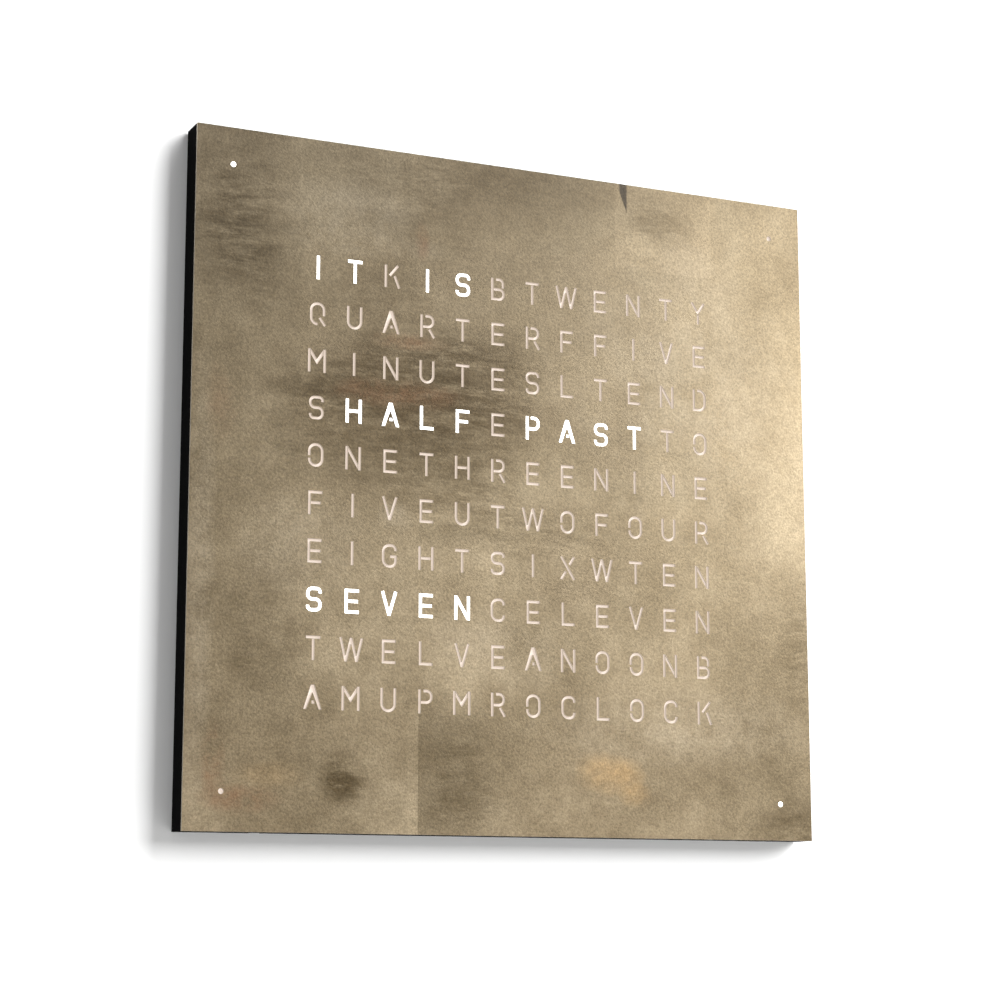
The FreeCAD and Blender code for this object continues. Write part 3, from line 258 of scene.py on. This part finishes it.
def alphabet(half, cap):
    """Stroke paths and filled shapes of the capitals, for a half stroke width and height."""
    top = cap - half
    joint = half + HAIRLINE
    stem = [(-4.0, cap), (-4.0, -cap)]
    slope = half * 4.2
    n_inside = 4.5 - joint
    m_inside = 5.3 - joint
    foot = 6.1 - half * 2.12
    paths = {
        "A": [],
        "B": [
            [(-4.0, cap), (-4.0, -top), (4.2, -top, 3.0), (4.2, -0.1, 3.0), (joint - 4.0, -0.1)],
            [(-1.3, top), (3.8, top, 2.9), (3.8, joint)],
        ],
        "C": [
            [
                (4.3, 3.3), (4.3, top, 3.0), (-4.3, top, 4.2), (-4.3, -top, 4.2),
                (4.3, -top, 3.0), (4.3, -3.3),
            ]
        ],
        "D": [[(-4.2, cap), (-4.2, -top), (4.3, -top, 4.4), (4.3, top, 4.4), (-1.5, top)]],
        "E": [[(4.9, top), (-3.8, top), (-3.8, -top), (4.9, -top)], [(joint - 3.8, 0), (4.2, 0)]],
        "F": [[(4.9, top), (-3.8, top), (-3.8, -cap)], [(joint - 3.8, 0), (3.9, 0)]],
        "G": [
            [
                (4.3, 3.3), (4.3, top, 3.0), (-4.3, top, 4.2), (-4.3, -top, 4.2),
                (4.3, -top, 3.4), (4.3, -0.4), (0.6, -0.4),
            ]
        ],
        "H": [
            [(-4.5, cap), (-4.5, -cap)], [(4.5, cap), (4.5, -cap)],
            [(joint - 4.5, 0), (4.5 - joint, 0)],
        ],
        "I": [[(0, cap), (0, -cap)]],
        "K": [stem, [(4.7, cap), (-1.2, 0.5)], [(2.2, 0.5), (5.5, -cap)]],
        "L": [[(-3.8, cap), (-3.8, -top), (4.9, -top)]],
        "M": [[(-5.3, cap), (-5.3, -cap)], [(5.3, cap), (5.3, -cap)]],
        "N": [[(-4.5, cap), (-4.5, -cap)], [(4.5, cap), (4.5, -cap)]],
        "O": [
            [
                (-4.4, -0.5), (-4.4, top, 4.2), (4.4, top, 4.2), (4.4, -top, 4.2),
                (-4.4, -top, 4.2), (-4.4, -2.1),
            ]
        ],
        "P": [stem, [(joint - 4.0, -0.5), (4.2, -0.5, 3.3), (4.2, top, 3.3), (-1.3, top)]],
        "Q": [
            [(0.1, -top), (-4.4, -top, 4.2), (-4.4, top, 4.2), (4.4, top, 4.2), (4.4, -1.2)],
            [(1.4, -2.5), (5.2, -cap)],
        ],
        "R": [
            stem, [(joint - 4.0, -0.3), (4.2, -0.3, 3.2), (4.2, top, 3.2), (-1.3, top)],
            [(1.5, -1.15 - half), (5.0, -cap)],
        ],
        "S": [
            [
                (4.2, 3.9), (4.2, top, 2.3), (-4.2, top, 3.1), (-4.2, 0, 3.1), (4.2, 0, 3.1),
                (4.2, -top, 3.1), (-4.2, -top, 2.3), (-4.2, -3.9),
            ]
        ],
        "T": [[(-5.0, top), (5.0, top)], [(0, top - joint), (0, -cap)]],
        "U": [[(-4.5, cap), (-4.5, -top, 4.3), (4.5, -top, 4.3), (4.5, cap)]],
        "V": [[(-4.6, cap), (0, half * 0.3 - cap), (4.6, cap)]],
        "W": [
            [
                (-7.3, cap), (-3.7, half * 0.3 - cap), (0, cap - half * 0.3),
                (3.7, half * 0.3 - cap), (7.3, cap),
            ]
        ],
        "X": [
            [(-4.8, cap), (4.8, -cap)], [(-4.8, -cap), (-1.35, -2.25)], [(1.35, 2.25), (4.8, cap)]
        ],
        "Y": [[(-4.9, cap), (0, 0.4), (4.9, cap)], [(0, 0.2 - half * 0.6), (0, -cap)]],
    }
    shapes = {
        "A": [
            [
                (-6.1, -cap), (-1.2, cap), (1.2, cap), (6.1, -cap), (foot, -cap), (0, 2.9),
                (-foot, -cap),
            ],
            [(-0.6, -4.2), (-0.6, -2.2), (1.0, -2.2), (1.6, -4.2)],
        ],
        "M": [
            [
                (-m_inside, cap), (-m_inside, cap - slope), (0, -2.6), (m_inside, cap - slope),
                (m_inside, cap), (0, slope - 2.6),
            ]
        ],
        "N": [
            [
                (-n_inside, cap), (-n_inside, cap - slope), (n_inside, -cap),
                (n_inside, slope - cap),
            ]
        ],
    }
    return paths, shapes


# Half the stroke's width and half the height, of the dark letters and of the lit ones.
DARK = (0.88, 7.7)
BRIGHT = (1.02, 7.85)


def letter_outlines(letter, across, up, weight, shrink=0.0):
    """A letter's closed outlines in the plane of the face, in metres."""
    half, cap = weight
    paths, shapes = alphabet(half, cap)
    closed = [stroke_edge(stroke_path(points), half - shrink) for points in paths[letter]]
    closed += [[Vector(point) for point in shape] for shape in shapes.get(letter, [])]
    place = Vector((across, up))
    return [[(point + place) / 1000 for point in outline] for outline in closed]


def letter_place(row, column):
    across = (column - (len(ROWS[0]) - 1) / 2) * COLUMN_PITCH
    up = ((len(ROWS) - 1) / 2 - row) * ROW_PITCH + LETTERS_RISE
    return across, up


def ring(across, up, radius, count=28):
    turns = [2 * math.pi * k / count for k in range(count)]
    return [
        Vector((across + radius * math.cos(turn), up + radius * math.sin(turn))) / 1000
        for turn in turns
    ]


def cut_sheet(name, outlines, back, front):
    """A flat sheet filled between outlines, standing between two depths off the wall."""
    curve = bpy.data.curves.new(name, "CURVE")
    curve.dimensions = "2D"
    curve.fill_mode = "BOTH"
    curve.extrude = (front - back) / 2
    for outline in outlines:
        spline = curve.splines.new("POLY")
        spline.points.add(len(outline) - 1)
        for point, corner in zip(spline.points, outline):
            point.co = (corner.x, corner.y, 0, 1)
        spline.use_cyclic_u = True
    holder = bpy.data.objects.new(name + "_curve", curve)
    scene.collection.objects.link(holder)
    bpy.context.view_layer.update()
    data = bpy.data.meshes.new_from_object(holder)
    bpy.data.objects.remove(holder)
    data.name = name
    middle = (front + back) / 2
    data.transform(Matrix.Translation((0, -middle, 0)) @ Matrix.Rotation(math.pi / 2, 4, "X"))
    mesh = bmesh.new()
    mesh.from_mesh(data)
    bmesh.ops.remove_doubles(mesh, verts=mesh.verts, dist=1e-7)
    bmesh.ops.recalc_face_normals(mesh, faces=mesh.faces)
    for face in mesh.faces:
        face.smooth = False
    mesh.to_mesh(data)
    mesh.free()
    sheet = bpy.data.objects.new(name, data)
    scene.collection.objects.link(sheet)
    return sheet


# The front plate: 1.5 mm sheet steel, cut by laser through every letter and the four
# minute dots, its face finished in bronze leaf under a matt varnish, clouded by age. The
# dots' sizes are in millimetres, like the lettering's.
DOT_INSET = 24.6
DOT_RADIUS = 1.8
LIT_DOTS = ((-1, 1), (1, -1))
DULL_DOTS = ((1, 1), (-1, -1))
plate_low, plate_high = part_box("front_plate")
plate_back = -plate_high.y
plate_front = -plate_low.y
dot_spread = plate_high.x * 1000 - DOT_INSET
plate_outline = [
    Vector((plate_low.x, plate_low.z)), Vector((plate_high.x, plate_low.z)),
    Vector((plate_high.x, plate_high.z)), Vector((plate_low.x, plate_high.z)),
]
cuts = [plate_outline]
for row, letters in enumerate(ROWS):
    for column, letter in enumerate(letters):
        weight = BRIGHT if (row, column) in LIT else DARK
        cuts += letter_outlines(letter, *letter_place(row, column), weight)
for across, up in LIT_DOTS + DULL_DOTS:
    cuts.append(ring(across * dot_spread, up * dot_spread, DOT_RADIUS))
plate = cut_sheet("bronze_plate", cuts, plate_back, plate_front)

bronze = bpy.data.materials.new("bronze_leaf")
add = nodes_of(bronze)
where = add("TexCoord").outputs["Object"]


def tree_of(*values):
    """The node tree of the first socket among some values."""
    return next(value.id_data for value in values if isinstance(value, bpy.types.NodeSocket))


def cloud(where, scale, detail, roughness=0.55, distortion=0.0):
    """One layer of cloudy noise over the places that a vector gives."""
    node = add_node(
        tree_of(where),
        "TexNoise",
        {
            "Vector": where, "Scale": scale, "Detail": detail, "Roughness": roughness,
            "Distortion": distortion,
        },
    )
    return node.outputs["Fac"]


def spread(value, low, high, to_low=0.0, to_high=1.0):
    """Stretch a value between two limits."""
    node = add_node(
        tree_of(value),
        "MapRange",
        {"Value": value, "From Min": low, "From Max": high, "To Min": to_low, "To Max": to_high},
    )
    return node.outputs["Result"]


def both(first, second, operation="MULTIPLY"):
    """Join two numbers by an operation; at least one of them is a socket."""
    tree = tree_of(first, second)
    return add_node(tree, "Math", {0: first, 1: second}, operation=operation).outputs[0]


def tint(amount, under, over, blend_type="MIX"):
    """Lay one colour over another by an amount."""
    node = add_node(
        tree_of(amount, under, over), "Mix", {0: amount, 6: under, 7: over},
        data_type="RGBA", blend_type=blend_type,
    )
    return node.outputs[2]


def shade(colour, red, green, blue):
    """Multiply a colour, channel by channel."""
    factor = add_node(tree_of(red), "CombineColor", {0: red, 1: green, 2: blue})
    return tint(1.0, colour, factor.outputs[0], "MULTIPLY")


def patch(where, across, up, width, height, ragged):
    """A ragged-edged patch of the finish, in millimetres from the face's middle."""
    moved = add_node(
        tree_of(where),
        "Mapping",
        {
            "Vector": where, "Location": (-across / width, 0, -up / height),
            "Scale": (1000 / width, 0, 1000 / height),
        },
    )
    length = add_node(tree_of(where), "VectorMath", {0: moved.outputs[0]}, operation="LENGTH")
    torn = both(ragged, both(cloud(where, 24, 6, 0.65), 0.5, "SUBTRACT"))
    return spread(both(length.outputs["Value"], torn, "ADD"), 1.0, 0.35)


def lay_patches(colour, tone, ragged, texture, places):
    """Lay patches of one tone; a place is (across, up, width, height, strength)."""
    where = add_node(tree_of(colour), "TexCoord").outputs["Object"]
    for across, up, width, height, strength in places:
        shape = patch(where, across, up, width, height, ragged)
        colour = tint(both(shape, both(texture, strength)), colour, tone)
    return colour


broad = cloud(where, 7, 10, 0.66, 0.15)
mottle = cloud(where, 34, 9, 0.74, 0.2)
grain = cloud(where, 700, 2, 0.75)
level_lines = add("Mapping", {"Vector": where, "Scale": (1, 1, 4.5)}).outputs[0]
streaks = cloud(level_lines, 24, 11, 0.82, 0.25)
leaf_tone = spread(both(broad, both(mottle, 0.5), "ADD"), 0.50, 1.00)
ramp = add("ValToRGB", {"Fac": leaf_tone})
ramp.color_ramp.elements[0].color = (0.086, 0.063, 0.034, 1)
ramp.color_ramp.elements[1].color = (0.234, 0.188, 0.122, 1)
middle_tone = ramp.color_ramp.elements.new(0.5)
middle_tone.color = (0.152, 0.118, 0.072, 1)
colour = ramp.outputs["Color"]
OLIVE = (0.050, 0.034, 0.015, 1)
RUST = (0.125, 0.062, 0.030, 1)
OCHRE = (0.270, 0.175, 0.080, 1)
PALE = (0.250, 0.208, 0.148, 1)
colour = lay_patches(
    colour, OLIVE, 1.1, spread(streaks, 0.38, 0.56),
    (
        (-70, 58, 105, 50, 1.0), (-40, 88, 80, 26, 0.8), (-110, 62, 60, 34, 0.7),
        (-195, 160, 50, 70, 0.8), (-90, 120, 70, 40, 0.4), (-60, 10, 90, 30, 0.6),
        (-75, 190, 60, 40, 0.45), (110, 200, 32, 22, 0.5),
        (-122, -192, 18, 20, 0.95), (-40, -190, 34, 52, 0.6), (-10, -20, 110, 26, 0.5),
        (222, -95, 26, 60, 0.5), (212, -215, 40, 22, 0.7), (-20, 215, 120, 22, 0.4),
        (-130, 20, 60, 30, 0.45), (-170, -90, 40, 50, 0.3), (60, -60, 70, 30, 0.25),
    ),
)
colour = lay_patches(
    colour, RUST, 1.0, spread(mottle, 0.4, 0.6),
    (
        (-68, 165, 7, 16, 0.6), (-85, 60, 52, 12, 0.55), (-78, 96, 30, 8, 0.5),
        (-206, -182, 9, 26, 0.8), (-188, -205, 30, 10, 0.6), (-205, 45, 14, 30, 0.3),
    ),
)
colour = lay_patches(
    colour, OCHRE, 1.3, spread(mottle, 0.3, 0.6),
    (
        (70, -184, 27, 15, 0.7), (88, -197, 14, 9, 0.7), (-170, -190, 26, 10, 0.2),
    ),
)
colour = lay_patches(
    colour, PALE, 0.9, spread(mottle, 0.3, 0.6),
    (
        (-218, -60, 12, 160, 0.45), (-120, 182, 60, 22, 0.4), (-110, 160, 70, 12, 0.4),
        (130, 90, 90, 110, 0.35), (120, -150, 110, 30, 0.35), (-86, -22, 14, 12, 0.45),
        (-10, -105, 60, 30, 0.25), (-150, -40, 50, 40, 0.25),
    ),
)

# The leaf is darker towards the top and the left and lighter towards the bottom; the brightening
# at the upper right is a painted sheen.
sides = add("SeparateXYZ", {"Vector": where})
across_face = sides.outputs["X"]
up_face = sides.outputs["Z"]
face_tone_and_sheen = spread(up_face, plate_low.z, plate_high.z, 1.22, 0.50)
# Painted sheen: the upper right of the face is lightened as if a lamp shone back from it.
painted_sheen = both(spread(across_face, 0.05, plate_high.x, 0, 0.42), spread(up_face, -0.16, 0.10))
face_tone_and_sheen = both(face_tone_and_sheen, painted_sheen, "ADD")
colour = shade(colour, face_tone_and_sheen, face_tone_and_sheen, face_tone_and_sheen)

# One join near the lower left shows as an upright line, the leaf on its right darker.
JOIN_ACROSS = -0.069
JOIN_WIDTH = 0.0004
right_of_join = spread(across_face, JOIN_ACROSS - JOIN_WIDTH / 2, JOIN_ACROSS + JOIN_WIDTH / 2)
join = both(right_of_join, spread(across_face, 0.02, -0.06))
join = both(join, spread(up_face, -0.128, -0.150))
colour = tint(both(join, 0.45), colour, OLIVE)

# A chip in the leaf's upper edge: a small dark wedge that narrows downwards.
CHIP_LEFT = 0.0795
CHIP_RIGHT = 0.0865
CHIP_LEVEL = 0.2205
CHIP_FALL = 2.6
CHIP_FOOT = 0.2014
CHIP_BLUR = 0.0012
past_left = both(across_face, CHIP_LEFT, "SUBTRACT")
before_right = both(CHIP_RIGHT, across_face, "SUBTRACT")
lower_edge = both(CHIP_LEVEL, both(past_left, CHIP_FALL), "SUBTRACT")
over_edge = both(up_face, lower_edge, "SUBTRACT")
chip = both(spread(past_left, 0, CHIP_BLUR), spread(over_edge, 0, CHIP_BLUR), "MINIMUM")
chip = both(chip, spread(before_right, 0, CHIP_BLUR), "MINIMUM")
chip = both(chip, spread(up_face, CHIP_FOOT - CHIP_BLUR / 2, CHIP_FOOT + CHIP_BLUR / 2))
colour = tint(both(chip, 0.85), colour, (0.012, 0.009, 0.006, 1))

# Sheets of leaf meet in straight upright seams, each a little off its neighbour in tone.
LEAF_SIZE = (0.0763, 10.0, 0.165)
leaf_cell = add("VectorMath", {0: where, 1: LEAF_SIZE}, operation="DIVIDE").outputs["Vector"]
leaf_cell = add("VectorMath", {0: leaf_cell}, operation="FLOOR").outputs["Vector"]
leaf_shade = add("TexWhiteNoise", {"Vector": leaf_cell}, noise_dimensions="3D").outputs["Value"]
leaf_warm = spread(leaf_shade, 0, 1, 0.93, 1.05)
colour = shade(colour, leaf_warm, leaf_warm, spread(leaf_shade, 0, 1, 0.92, 1.05))
speck = spread(grain, 0.3, 0.7, 0.74, 1.26)
colour = shade(colour, speck, speck, speck)
bump = add("Bump", {"Height": grain, "Strength": 0.35, "Distance": 0.00025})
bump_slow = add(
    "Bump", {"Height": mottle, "Strength": 0.08, "Distance": 0.002, "Normal": bump.outputs[0]}
)
finish = add(
    "BsdfPrincipled",
    {
        "Base Color": colour, "Roughness": spread(mottle, 0.3, 0.7, 0.40, 0.50),
        "Metallic": 0.8, "Normal": bump_slow.outputs[0],
    },
)
add("OutputMaterial", {"Surface": finish.outputs[0]})
plate.data.materials.append(bronze)

# The laser's cut edge stays bare and a little lighter than the leaf.
cut_edge = bpy.data.materials.new("cut_edge")
add = nodes_of(cut_edge)
where = add("TexCoord").outputs["Object"]
lines = cloud(where, 1500, 1)
finish = add(
    "BsdfPrincipled",
    {
        "Base Color": tint(
            spread(lines, 0.3, 0.7), (0.36, 0.31, 0.24, 1), (0.5, 0.45, 0.37, 1)
        ),
        "Roughness": 0.5, "Metallic": 0.7,
    },
)
add("OutputMaterial", {"Surface": finish.outputs[0]})
plate.data.materials.append(cut_edge)

# Inside the dark letters the cut's walls give off a painted glow, as if brightened by the pale
# film behind them.
painted_glow_edge = bpy.data.materials.new("painted_glow_edge")
add = nodes_of(painted_glow_edge)
where = add("TexCoord").outputs["Object"]
lines = cloud(where, 1500, 1)
painted_glow_tone = tint(spread(lines, 0.3, 0.7), (0.60, 0.50, 0.41, 1), (0.72, 0.62, 0.53, 1))
# Painted glow: the walls' emission stands in for the light that the film would throw on them.
finish = add(
    "BsdfPrincipled",
    {
        "Base Color": (0.16, 0.13, 0.10, 1), "Roughness": 0.7, "Emission Color": painted_glow_tone,
        "Emission Strength": 0.62,
    },
)
add("OutputMaterial", {"Surface": finish.outputs[0]})
plate.data.materials.append(painted_glow_edge)

# Round the lit letters and dots the cut's walls take up the light, shown as a painted glow that
# the walls give off themselves.
glowing_edge = bpy.data.materials.new("glowing_edge")
add = nodes_of(glowing_edge)
where = add("TexCoord").outputs["Object"]
finish = add(
    "BsdfPrincipled",
    {
        "Base Color": (0.8, 0.78, 0.74, 1), "Roughness": 0.5,
        "Emission Color": tint(cloud(where, 800, 2), (1, 0.98, 0.94, 1), (1, 1, 1, 1)),
        "Emission Strength": 1.1,
    },
)
add("OutputMaterial", {"Surface": finish.outputs[0]})
plate.data.materials.append(glowing_edge)

# Each wall of the cuts takes its finish from the letter, the dot or the rim it belongs to.
LETTER_REACH = 10.5
DOT_REACH = 4.0
RIM_WIDTH = 1.0
OUTER_RIM, PAINTED_GLOW_WALL, GLOWING_WALL = 1, 2, 3
rim_start = plate_high.x * 1000 - RIM_WIDTH
lit_places = [(*letter_place(row, column), LETTER_REACH) for row, column in LIT]
lit_places += [(across * dot_spread, up * dot_spread, DOT_REACH) for across, up in LIT_DOTS]
for face in plate.data.polygons:
    faces_out = abs(face.normal.y) > 0.9
    if faces_out:
        continue
    centre = face.center * 1000
    near_light = any(
        abs(centre.x - across) < reach and abs(centre.z - up) < reach
        for across, up, reach in lit_places
    )
    if max(abs(centre.x), abs(centre.z)) > rim_start:
        face.material_index = OUTER_RIM
    else:
        face.material_index = GLOWING_WALL if near_light else PAINTED_GLOW_WALL
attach(plate, "front")
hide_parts("front_plate")


# The light in the lit letters and dots: the film shining at full strength in the cuts.
LETTER_CLEARANCE = 0.02
DOT_CLEARANCE = 0.05
LIGHT_LIFT = 0.00001
LIGHT_DROP = 0.00003
lit_outlines = []
for row, column in sorted(LIT):
    place = letter_place(row, column)
    lit_outlines += letter_outlines(ROWS[row][column], *place, BRIGHT, shrink=LETTER_CLEARANCE)
for across, up in LIT_DOTS:
    lit_outlines.append(ring(across * dot_spread, up * dot_spread, DOT_RADIUS - DOT_CLEARANCE))
letter_light = cut_sheet(
    "letter_light", lit_outlines, plate_back + LIGHT_LIFT, plate_front - LIGHT_DROP
)
light_film = bpy.data.materials.new("lit_film")
add = nodes_of(light_film)
where = add("TexCoord").outputs["Object"]
finish = add(
    "BsdfPrincipled",
    {
        "Base Color": (0.9, 0.9, 0.88, 1), "Roughness": 0.6,
        "Emission Color": tint(cloud(where, 60, 2), (1, 0.985, 0.95, 1), (1, 1, 1, 1)),
        "Emission Strength": 1.6,
    },
)
add("OutputMaterial", {"Surface": finish.outputs[0]})
letter_light.data.materials.append(light_film)
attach(letter_light, "front")


# The film behind the dark letters: milky, warm white, with a painted glow that keeps the dark
# letters evenly pale.
def finish_node(name, material):
    """Give a carried-over piece its finish."""
    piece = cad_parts[name]
    piece.data.materials.clear()
    piece.data.materials.append(material)


film = bpy.data.materials.new("milky_film")
add = nodes_of(film)
where = add("TexCoord").outputs["Object"]
milky = spread(cloud(where, 45, 4), 0.3, 0.7)
painted_film_glow = tint(milky, (0.80, 0.66, 0.56, 1), (0.90, 0.75, 0.65, 1))
# Painted glow: the unlit film shines by itself, standing in for the light that reaches it through
# the cuts.
finish = add(
    "BsdfPrincipled",
    {
        "Base Color": (0.30, 0.27, 0.24, 1), "Roughness": 0.55, "Emission Color": painted_film_glow,
        "Emission Strength": 0.72,
    },
)
add("OutputMaterial", {"Surface": finish.outputs[0]})
finish_node("diffuser_sheet", film)


# Casing, light grid and buttons: black moulded plastic with a fine spark-eroded grain.
def moulding(name, tone, roughness, grain_scale, grain_depth, gloss=0.5):
    """Moulded plastic: an even colour, slightly uneven gloss and a fine grain."""
    material = bpy.data.materials.new(name)
    add = nodes_of(material)
    where = add("TexCoord").outputs["Object"]
    slow = cloud(where, 18, 3)
    darker = tuple(part * 0.8 for part in tone) + (1,)
    lighter = tuple(part * 1.25 for part in tone) + (1,)
    fine = cloud(where, grain_scale, 2)
    uneven = spread(cloud(where, 40, 4), 0.3, 0.7, roughness - 0.06, roughness + 0.06)
    bump = add("Bump", {"Height": fine, "Strength": 0.4, "Distance": grain_depth})
    finish = add(
        "BsdfPrincipled",
        {
            "Base Color": tint(slow, darker, lighter), "Roughness": uneven,
            "Normal": bump.outputs[0],
        },
    )
    finish.inputs["Specular IOR Level"].default_value = gloss
    add("OutputMaterial", {"Surface": finish.outputs[0]})
    return material


casing_black = moulding("casing_black", (0.006, 0.006, 0.006), 0.8, 1800, 0.00006, 0.004)
finish_node("casing", casing_black)
inner_black = moulding("inner_black", (0.016, 0.016, 0.017), 0.7, 1200, 0.00005)
for name in ("light_grid", "corner_light_cups", "coin_cell_holder", "power_socket"):
    finish_node(name, inner_black)
button_black = moulding("button_black", (0.022, 0.022, 0.023), 0.42, 2500, 0.00002)
for name in ("mode_button", "hour_button", "minute_button", "dimmer_button"):
    finish_node(name, button_black)
connector_plastic = moulding("connector_plastic", (0.62, 0.58, 0.48), 0.5, 900, 0.00003)
for name in ("power_header", "ribbon_connectors", "rod_holders"):
    finish_node(name, connector_plastic)
plunger_plastic = moulding("plunger_plastic", (0.5, 0.05, 0.03), 0.45, 900, 0.00002)
for name in ("mode_plunger", "hour_plunger", "minute_plunger", "dimmer_plunger"):
    finish_node(name, plunger_plastic)
chip_black = moulding("chip_black", (0.020, 0.020, 0.021), 0.55, 3000, 0.00002)
for name in (
    "driver_chips", "microcontroller", "clock_chip", "power_coil", "radio_chip", "light_sensor",
    "switch_bodies",
):
    finish_node(name, chip_black)
sleeve = moulding("lead_sleeve", (0.30, 0.018, 0.014), 0.4, 700, 0.00002)
dark_sleeve = moulding("dark_sleeve", (0.03, 0.03, 0.032), 0.4, 700, 0.00002)
for name in ("power_leads", "corner_leads"):
    finish_node(name, sleeve)
for name in ("antenna_lead", "sensor_lead", "button_lead"):
    finish_node(name, dark_sleeve)
ribbon_film = moulding("ribbon_film", (0.72, 0.72, 0.74), 0.3, 500, 0.00001)
finish_node("ribbon_cable", ribbon_film)
led_resin = moulding("led_resin", (0.80, 0.72, 0.36), 0.35, 900, 0.00001)
for name in ("letter_leds", "corner_leds"):
    finish_node(name, led_resin)
ferrite = moulding("ferrite", (0.045, 0.042, 0.040), 0.48, 1500, 0.00005)
finish_node("ferrite_rod", ferrite)
window_plastic = moulding("window_plastic", (0.30, 0.31, 0.32), 0.08, 300, 0.000005)
finish_node("sensor_window", window_plastic)


# Plated steel, tin and copper pieces: fine lines of rolling and turning in the metal.
def bare_metal(name, tone, roughness, stretch):
    """Bare or plated metal with fine lines; stretch sets the lines' direction."""
    material = bpy.data.materials.new(name)
    add = nodes_of(material)
    where = add("TexCoord").outputs["Object"]
    drawn = add("Mapping", {"Vector": where, "Scale": stretch}).outputs[0]
    lines = cloud(drawn, 400, 3, 0.6)
    darker = tuple(part * 0.82 for part in tone) + (1,)
    lighter = tuple(min(1, part * 1.1) for part in tone) + (1,)
    bump = add("Bump", {"Height": lines, "Strength": 0.15, "Distance": 0.00003})
    finish = add(
        "BsdfPrincipled",
        {
            "Base Color": tint(spread(lines, 0.3, 0.7), darker, lighter), "Metallic": 1.0,
            "Roughness": spread(lines, 0.3, 0.7, roughness - 0.05, roughness + 0.08),
            "Normal": bump.outputs[0],
        },
    )
    add("OutputMaterial", {"Surface": finish.outputs[0]})
    return material


zinc = bare_metal("zinc_plate", (0.60, 0.60, 0.58), 0.36, (1, 1, 8))
finish_node("keyhole_plates", zinc)
nickel = bare_metal("nickel_plate", (0.66, 0.65, 0.62), 0.24, (1, 6, 1))
for name in (
    "plate_studs", "plate_magnets", "grid_screws", "board_screws", "hanger_screws",
    "timing_crystal", "socket_pin", "coin_cell",
):
    finish_node(name, nickel)
finish_node("power_capacitors", bare_metal("can_sleeve", (0.70, 0.70, 0.71), 0.3, (1, 1, 1)))
copper = bare_metal("wound_copper", (0.62, 0.26, 0.10), 0.28, (0.2, 0.2, 9))
finish_node("antenna_coil", copper)


# Circuit boards: glass-fibre laminate under a black solder mask, with faint tracks.
board_black = bpy.data.materials.new("board_black")
add = nodes_of(board_black)
where = add("TexCoord").outputs["Object"]
tracks = add(
    "TexBrick",
    {
        "Vector": add("Mapping", {"Vector": where, "Rotation": (math.pi / 2, 0, 0)}).outputs[0],
        "Scale": 60.0, "Mortar Size": 0.03, "Color1": (0.010, 0.016, 0.012, 1),
        "Color2": (0.012, 0.019, 0.014, 1), "Mortar": (0.022, 0.034, 0.024, 1),
    },
)
bump = add("Bump", {"Height": tracks.outputs["Fac"], "Strength": 0.2, "Distance": 0.00003})
finish = add(
    "BsdfPrincipled",
    {
        "Base Color": tracks.outputs["Color"],
        "Roughness": spread(cloud(where, 60, 3), 0.3, 0.7, 0.28, 0.36),
        "Normal": bump.outputs[0],
    },
)
add("OutputMaterial", {"Surface": finish.outputs[0]})
for name in (
    "led_board", "corner_boards", "control_board", "radio_board", "sensor_board",
    "button_board",
):
    finish_node(name, board_black)
